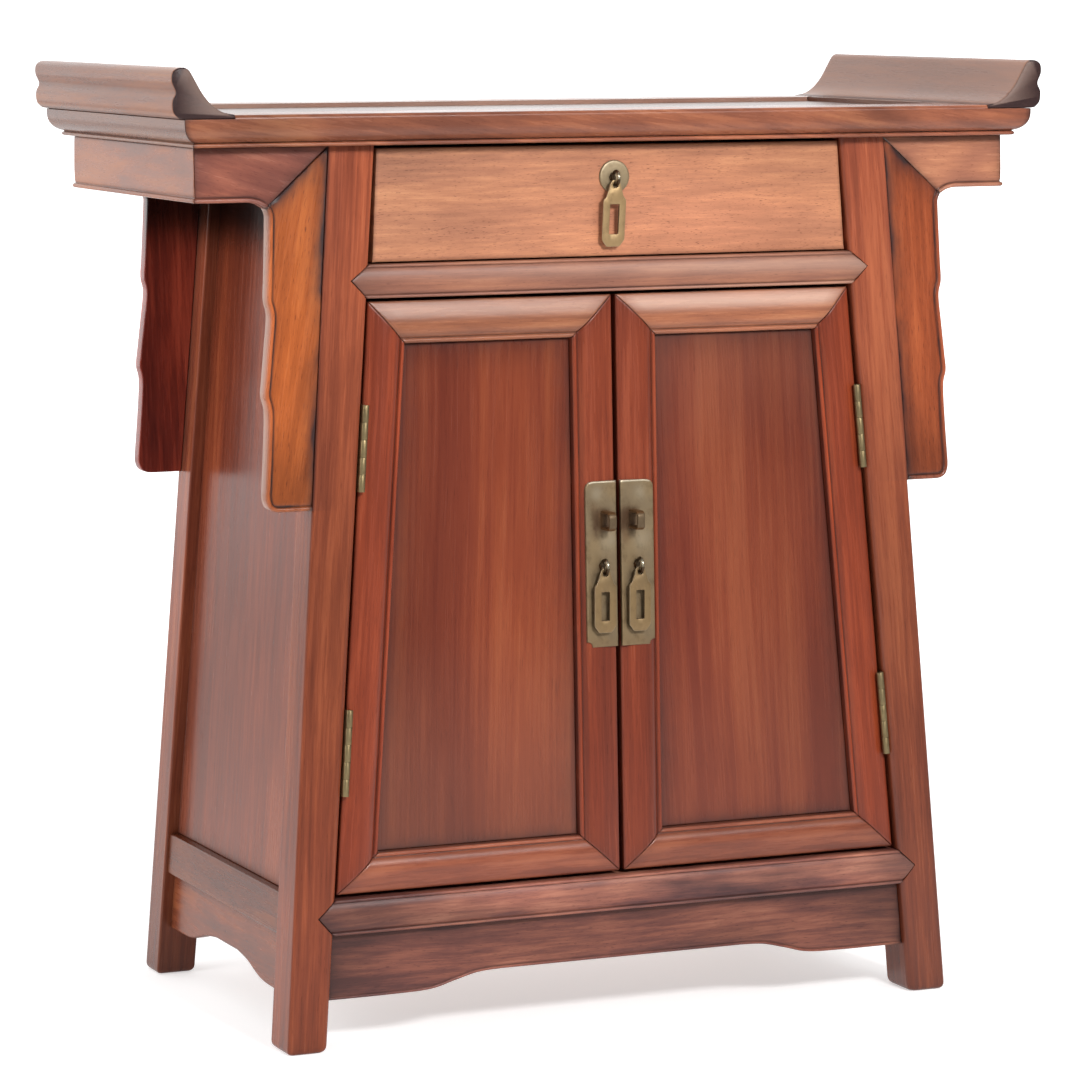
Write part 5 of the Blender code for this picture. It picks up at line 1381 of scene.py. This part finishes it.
for nm, s in (("left", -1), ("right", 1)):
    body = nm + "_door"
    x0, x1, p0, p1 = (2.2, 32.0, 337.0, 484.0) if s < 0 else (1.9, 34.0, 337.0, 484.0)
    top = curve([(x1, p1 - 7.0), (x1 - 0.5, p1 - 4.2), (x1 - 2.4, p1 - 1.6), (x1 - 5.4, p1 - 0.5), (x1 - 9.0, p1)], 4)
    notch = curve([(x1 - 5.0, p0), (x1 - 4.6, p0 + 2.2), (x1 - 3.4, p0 + 3.8), (x1 - 1.6, p0 + 4.6), (x1, p0 + 4.8)], 4)
    ring = [(x0, p0)] + notch + top + [(x0, p1)]
    chains = [("free", flip(ring + [ring[0]], s))]
    thin = [(0.0, -0.8), (0.12, -0.45), (0.35, -0.18), (0.8, 0.0), (2.0, 0.0)]
    v, f, a = relief(chains, thin, on_front, 2.0, 5.4, grid=2.2, inset_back=0.3)
    P = np.array([(p[0] * s, p[2]) for p in v])

    def plate_spot(x, z, rx, rz, k=2):
        return np.exp(-np.abs((P[:, 0] - x) / rx) ** k - np.abs((P[:, 1] - z) / rz) ** k)
    # Dark and copper-brown patches beside, under and below each staple and by the drop's eye are painted shadow over
    # tarnish; the plate is also darker towards its bottom edge.
    if s < 0:
        g = np.maximum(0.98 * plate_spot(16.8, 449.0, 9.3, 11.0, 6), 0.6 * plate_spot(22.0, 437.5, 4.5, 4.0))
        hz = np.maximum(0.80 * plate_spot(17.0, 448.0, 2.2, 9.0, 4), 0.30 * plate_spot(24.0, 462.0, 4.0, 5.0))
    else:
        g = np.maximum(0.96 * plate_spot(9.4, 449.0, 10.0, 11.5, 6), 0.5 * plate_spot(7.0, 437.0, 5.0, 6.0))
        hz = np.maximum(0.55 * plate_spot(6.8, 434.0, 4.0, 6.0), 0.40 * plate_spot(10.5, 450.0, 2.0, 7.0))
    g = np.maximum(g, 0.5 * plate_spot(17.0, 407.0, 6.0, 7.0))
    g = np.maximum(np.maximum(g - hz * 0.5, 0.0), 0.26 * plate_spot(18.0, 340.0, 30.0, 9.0))
    # A painted highlight along the top edge, with pale spots given near the staple.
    top_highlight_and_spots = np.maximum(np.where(P[:, 1] > p1 - 1.8, 0.9, 0.0), 0.30 * plate_spot(21.0, 473.0, 5.0, 6.0))
    top_highlight_and_spots = np.maximum(top_highlight_and_spots, 0.35 * plate_spot(10.0 if s < 0 else 22.0, 432.0, 8.0, 9.0))
    make("%s_plate" % body, v, f, PLATE, body, nm + "_lock_plate", (0, 0, 1), (0, -1, 0),
         {"patina_and_shade": g, "wear_and_highlight": top_highlight_and_spots, "painted_sheen_and_shade": hz, "tone": [1.0] * len(v)}, sharp=45)
    # padlock staple: a bent strap
    zc, hz = 449.5, 8.5
    root, tip = face_y(zc, 2.4), face_y(zc, 3.2) - 19.5
    r_out = 5.6
    path = [(root, zc + hz)]
    for k in range(9):
        t = math.pi / 2 * k / 8
        path.append((tip + r_out - r_out * math.sin(t), zc + hz - r_out + r_out * math.cos(t)))
    for k in range(9):
        t = math.pi / 2 * k / 8
        path.append((tip + r_out - r_out * math.cos(t), zc - hz + r_out - r_out * math.sin(t)))
    path.append((root, zc - hz))
    nr = normals_of(path, False, 1.0)
    mid = Vector((tip + 8.0, zc))
    if (Vector(path[9]) + Vector(nr[9]) - mid).length > (Vector(path[9]) - mid).length:
        nr = [(-a_, -b_) for a_, b_ in nr]
    rows = []
    sect = rounded([(-3.6, 0.0), (3.6, 0.0), (3.6, 2.6), (-3.6, 2.6)], (0.9, 0.9, 0.9, 0.9), 3)
    for p, q in zip(path, nr):
        rows.append([(s * 13.7 + x, p[0] + q[0] * t, p[1] + q[1] * t) for x, t in sect])
    v, f = loops(rows)
    pat = [0.9 if p[1] > tip + 1.6 else 0.10 for p in v]
    wr = [0.02 if p[1] < tip + 0.8 else 0.0 for p in v]
    make("%s_staple" % body, v, f, STAPLE, body, None, (0, 0, 1), (0, -1, 0),
         {"patina_and_shade": pat, "wear_and_highlight": wr, "tone": [1.0] * len(v)}, sharp=40)
    c = (s * 16.9, face_y(409.0, 3.2) - 8.0, 409.0)
    eye_piece("%s_pull_eye" % body, c, face_y(409.0, 2.0), body)
    drop_piece("%s_drop" % body, c, 21.0, 350.2, 393.6, (7.6, 361.0, 386.5), nm + "_pull", nm + "_pull_drop")


# Hinges: knuckled barrels on thin leaves.
def hinge_axis(s):
    n = Vector((-s * 0.0788, 0.0402, 1.0)).normalized()
    e = Vector((s, 0.0, 0.0))
    e = (e - n * e.dot(n)).normalized()
    b = n.cross(e)
    return n, e, (b if b.y > 0 else -b)


def hinge_shell(s, z, spans, e0, e1, reach, ends, caps):
    ax, e, b = hinge_axis(s)
    start = Vector((s * (post_in(z) - 3.7), -half_depth(z) + 1.45, z))
    parts = []
    for h0, h1 in spans:
        pts = [(0.02, h0), (3.0, h0), (3.17, h0 + 0.04), (3.22, h0 + 0.14), (3.22, h1 - 0.14), (3.17, h1 - 0.04), (3.0, h1), (0.02, h1)]
        v, f = turned(tuple(start), tuple(ax), tuple(e), pts, 24)
        g = []
        for r, h in pts:
            g += [0.35 if r < 3.1 else 0.05] * 24
        parts.append((v, f, {"patina_and_shade": g}))
    for h, up in caps:
        pts = [(0.02, h - up * 0.4), (2.3, h - up * 0.4), (2.3, h), (1.9, h + up * 0.45), (1.0, h + up * 0.7), (0.02, h + up * 0.75)]
        v, f = turned(tuple(start), tuple(ax), tuple(e), pts, 20)
        parts.append((v, f, None))
    near = 3.3
    quad = [(e0, near - 1.8), (e1, near - 1.8), (e1, reach), (e0, reach)]
    v, f = loops([[tuple(start + e * p + b * q + ax * h) for p, q in quad] for h in ends])
    parts.append((v, f, {"patina_and_shade": [0.5] * len(v)}))
    return join(*parts)


for nm, s in (("left", -1), ("right", 1)):
    for word, z in (("lower", 222.4), ("upper", 485.0)):
        k, g, L = 15.0, 0.08, 75.0
        fixed = [(0.0, k - g), (2 * k + g, 3 * k - g), (4 * k + g, L)]
        moving = [(k + g, 2 * k - g), (3 * k + g, 4 * k - g)]
        v, f, a = hinge_shell(s, z, fixed, 2.5, 3.4, 21.0, (0.0, L), ())
        make("hinge_%s_%s_frame" % (nm, word), v, f, HINGE, "carcass", "hinge_%s_%s_frame_leaf" % (nm, word),
             tuple(hinge_axis(s)[0]), (0, -1, 0), a, sharp=45)
        v, f, a = hinge_shell(s, z, moving, 1.4, 2.3, 21.0, (1.0, L - 1.0), ())
        make("hinge_%s_%s_door" % (nm, word), v, f, HINGE, nm + "_door", "hinge_%s_%s_door_leaf" % (nm, word),
             tuple(hinge_axis(s)[0]), (0, -1, 0), a, sharp=45)

# --- Pieces whose plain shape is right: finish and eased edges ----------------------------------------------


def keep(node, mat, width=0.0008):
    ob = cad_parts[node]
    ob.data.materials.clear()
    ob.data.materials.append(mat)
    m = ob.modifiers.new("eased", "BEVEL")
    m.width = width
    m.segments = 3
    m.limit_method = "ANGLE"
    m.angle_limit = math.radians(40)
    m.harden_normals = False
    return ob


keep("top_panel", TOP_PANEL, 0.0012)
keep("floor_panel", INNER)
for nm in ("left", "right"):
    keep("drawer_runner_" + nm, INNER_Y)
    keep("drawer_side_" + nm, INNER_Y)
keep("drawer_back", INNER)
keep("drawer_bottom", INNER)

# --- Floor, light, camera ----------------------------------------------------------------------------------------
me = bpy.data.meshes.new("floor")
me.from_pydata([(-16, -16, 0), (16, -16, 0), (16, 4.6, 0), (-16, 4.6, 0)], [], [(0, 1, 2, 3)])
floor = bpy.data.objects.new("floor", me)
scene.collection.objects.link(floor)
ft = Tree("floor_white")
ft.bsdf.inputs["Base Color"].default_value = (0.82, 0.82, 0.82, 1.0)
ft.bsdf.inputs["Roughness"].default_value = 0.8
ft.bsdf.inputs["Specular IOR Level"].default_value = 0.1
ft.bsdf.inputs["Emission Color"].default_value = (1.0, 1.0, 1.0, 1.0)
where = ft.add("ShaderNodeSeparateXYZ")
place = ft.add("ShaderNodeTexCoord").outputs["Object"]
ft.link(place, where.inputs[0])
# The floor glows from just in front of the cabinet backwards, less far to the left: a painted pool of light, which also
# lights the cabinet.
near = ft.span(where.outputs["Y"], -1.6, -0.6, 0.0, 0.5, smooth=True)
left = ft.span(where.outputs["X"], -1.5, -0.8, 0.45, 1.0, smooth=True)
# The camera sees the floor run out to plain white, from every side.
reach = ft.add("ShaderNodeVectorMath", operation="LENGTH")
ft.link(place, reach.inputs[0])
far = ft.span(reach.outputs["Value"], 0.9, 2.6, 0.5, 1.0, smooth=True)
seen = ft.math("MULTIPLY", far, ft.add("ShaderNodeLightPath").outputs["Is Camera Ray"])
ft.link(ft.math("MAXIMUM", ft.math("MULTIPLY", near, left), seen), ft.bsdf.inputs["Emission Strength"])
me.materials.append(ft.mat)

world = bpy.data.worlds.new("studio")
scene.world = world
world.use_nodes = True
wt = world.node_tree
bg = wt.nodes["Background"]
co = wt.nodes.new("ShaderNodeTexCoord")
sep = wt.nodes.new("ShaderNodeSeparateXYZ")
wt.links.new(co.outputs["Generated"], sep.inputs[0])


def ramp_of(socket, values):
    n = wt.nodes.new("ShaderNodeMapRange")
    n.interpolation_type = "SMOOTHSTEP"
    wt.links.new(socket, n.inputs["Value"])
    for k, val in zip(("From Min", "From Max", "To Min", "To Max"), values):
        n.inputs[k].default_value = val
    return n.outputs["Result"]


def world_math(op, a, b):
    n = wt.nodes.new("ShaderNodeMath")
    n.operation = op
    for sock, val in zip(n.inputs, (a, b)):
        if hasattr(val, "is_output"):
            wt.links.new(val, sock)
        else:
            sock.default_value = val
    return n.outputs[0]


# A dim room in front, paler towards the back, with a bright wall low behind; the camera sees a white backdrop.
wide = ramp_of(sep.outputs["Y"], (-0.5, 0.45, 0.24, 1.0))
wall = world_math("MULTIPLY", ramp_of(sep.outputs["Y"], (0.45, 0.85, 0.0, 0.7)), ramp_of(sep.outputs["Z"], (0.62, 0.35, 0.0, 1.0)))
backdrop = wt.nodes.new("ShaderNodeLightPath").outputs["Is Camera Ray"]
wt.links.new(world_math("MAXIMUM", world_math("ADD", wide, wall), backdrop), bg.inputs["Strength"])
bg.inputs["Color"].default_value = (1.0, 1.0, 1.0, 1.0)


def area(name, az, el, dist, size, power, spread=180.0, aim=(0.0, 0.0, 0.45)):
    d = Vector((math.sin(az) * math.cos(el), -math.cos(az) * math.cos(el), math.sin(el)))
    lamp = bpy.data.lights.new(name, "AREA")
    lamp.shape = "RECTANGLE"
    lamp.size, lamp.size_y = size
    lamp.energy = power
    lamp.spread = math.radians(spread)
    ob = bpy.data.objects.new(name, lamp)
    ob.location = Vector(aim) + d * dist
    ob.rotation_euler = d.to_track_quat("Z", "Y").to_euler()
    scene.collection.objects.link(ob)
    return ob


area("key", math.radians(5), math.radians(29), 3.4, (0.6, 0.5), 16.0, 75.0, (0.0, -0.17, 0.5))
area("gloss", math.radians(24), math.radians(26), 2.5, (1.4, 0.7), 3.0, 75.0, (0.0, -0.17, 0.60))
area("side", math.radians(-84), math.radians(18), 2.6, (1.6, 1.2), 9.0, 90.0, (-0.3, 0.0, 0.45))

cam = bpy.data.cameras.new("view")
cam.sensor_width = 36.0
cam.lens = 4398.03 / 1080.0 * 36.0
cam.clip_end = 100.0
ob = bpy.data.objects.new("view", cam)
a, b, roll = 0.4145, -0.126, -0.0009
fwd = Vector((math.sin(a) * math.cos(b), math.cos(a) * math.cos(b), math.sin(b)))
right = Vector((math.cos(a), -math.sin(a), 0.0))
up = right.cross(fwd)
r2 = right * math.cos(roll) + up * math.sin(roll)
u2 = up * math.cos(roll) - right * math.sin(roll)
M = Matrix((r2, u2, -fwd)).transposed().to_4x4()
M.translation = Vector((-1.6545, -3.7639, 0.941)) * 0.977196
scene.collection.objects.link(ob)
ob.matrix_world = M
scene.camera = ob
scene.view_settings.view_transform = "Standard"
scene.view_settings.look = "None"

bpy.context.view_layer.update()
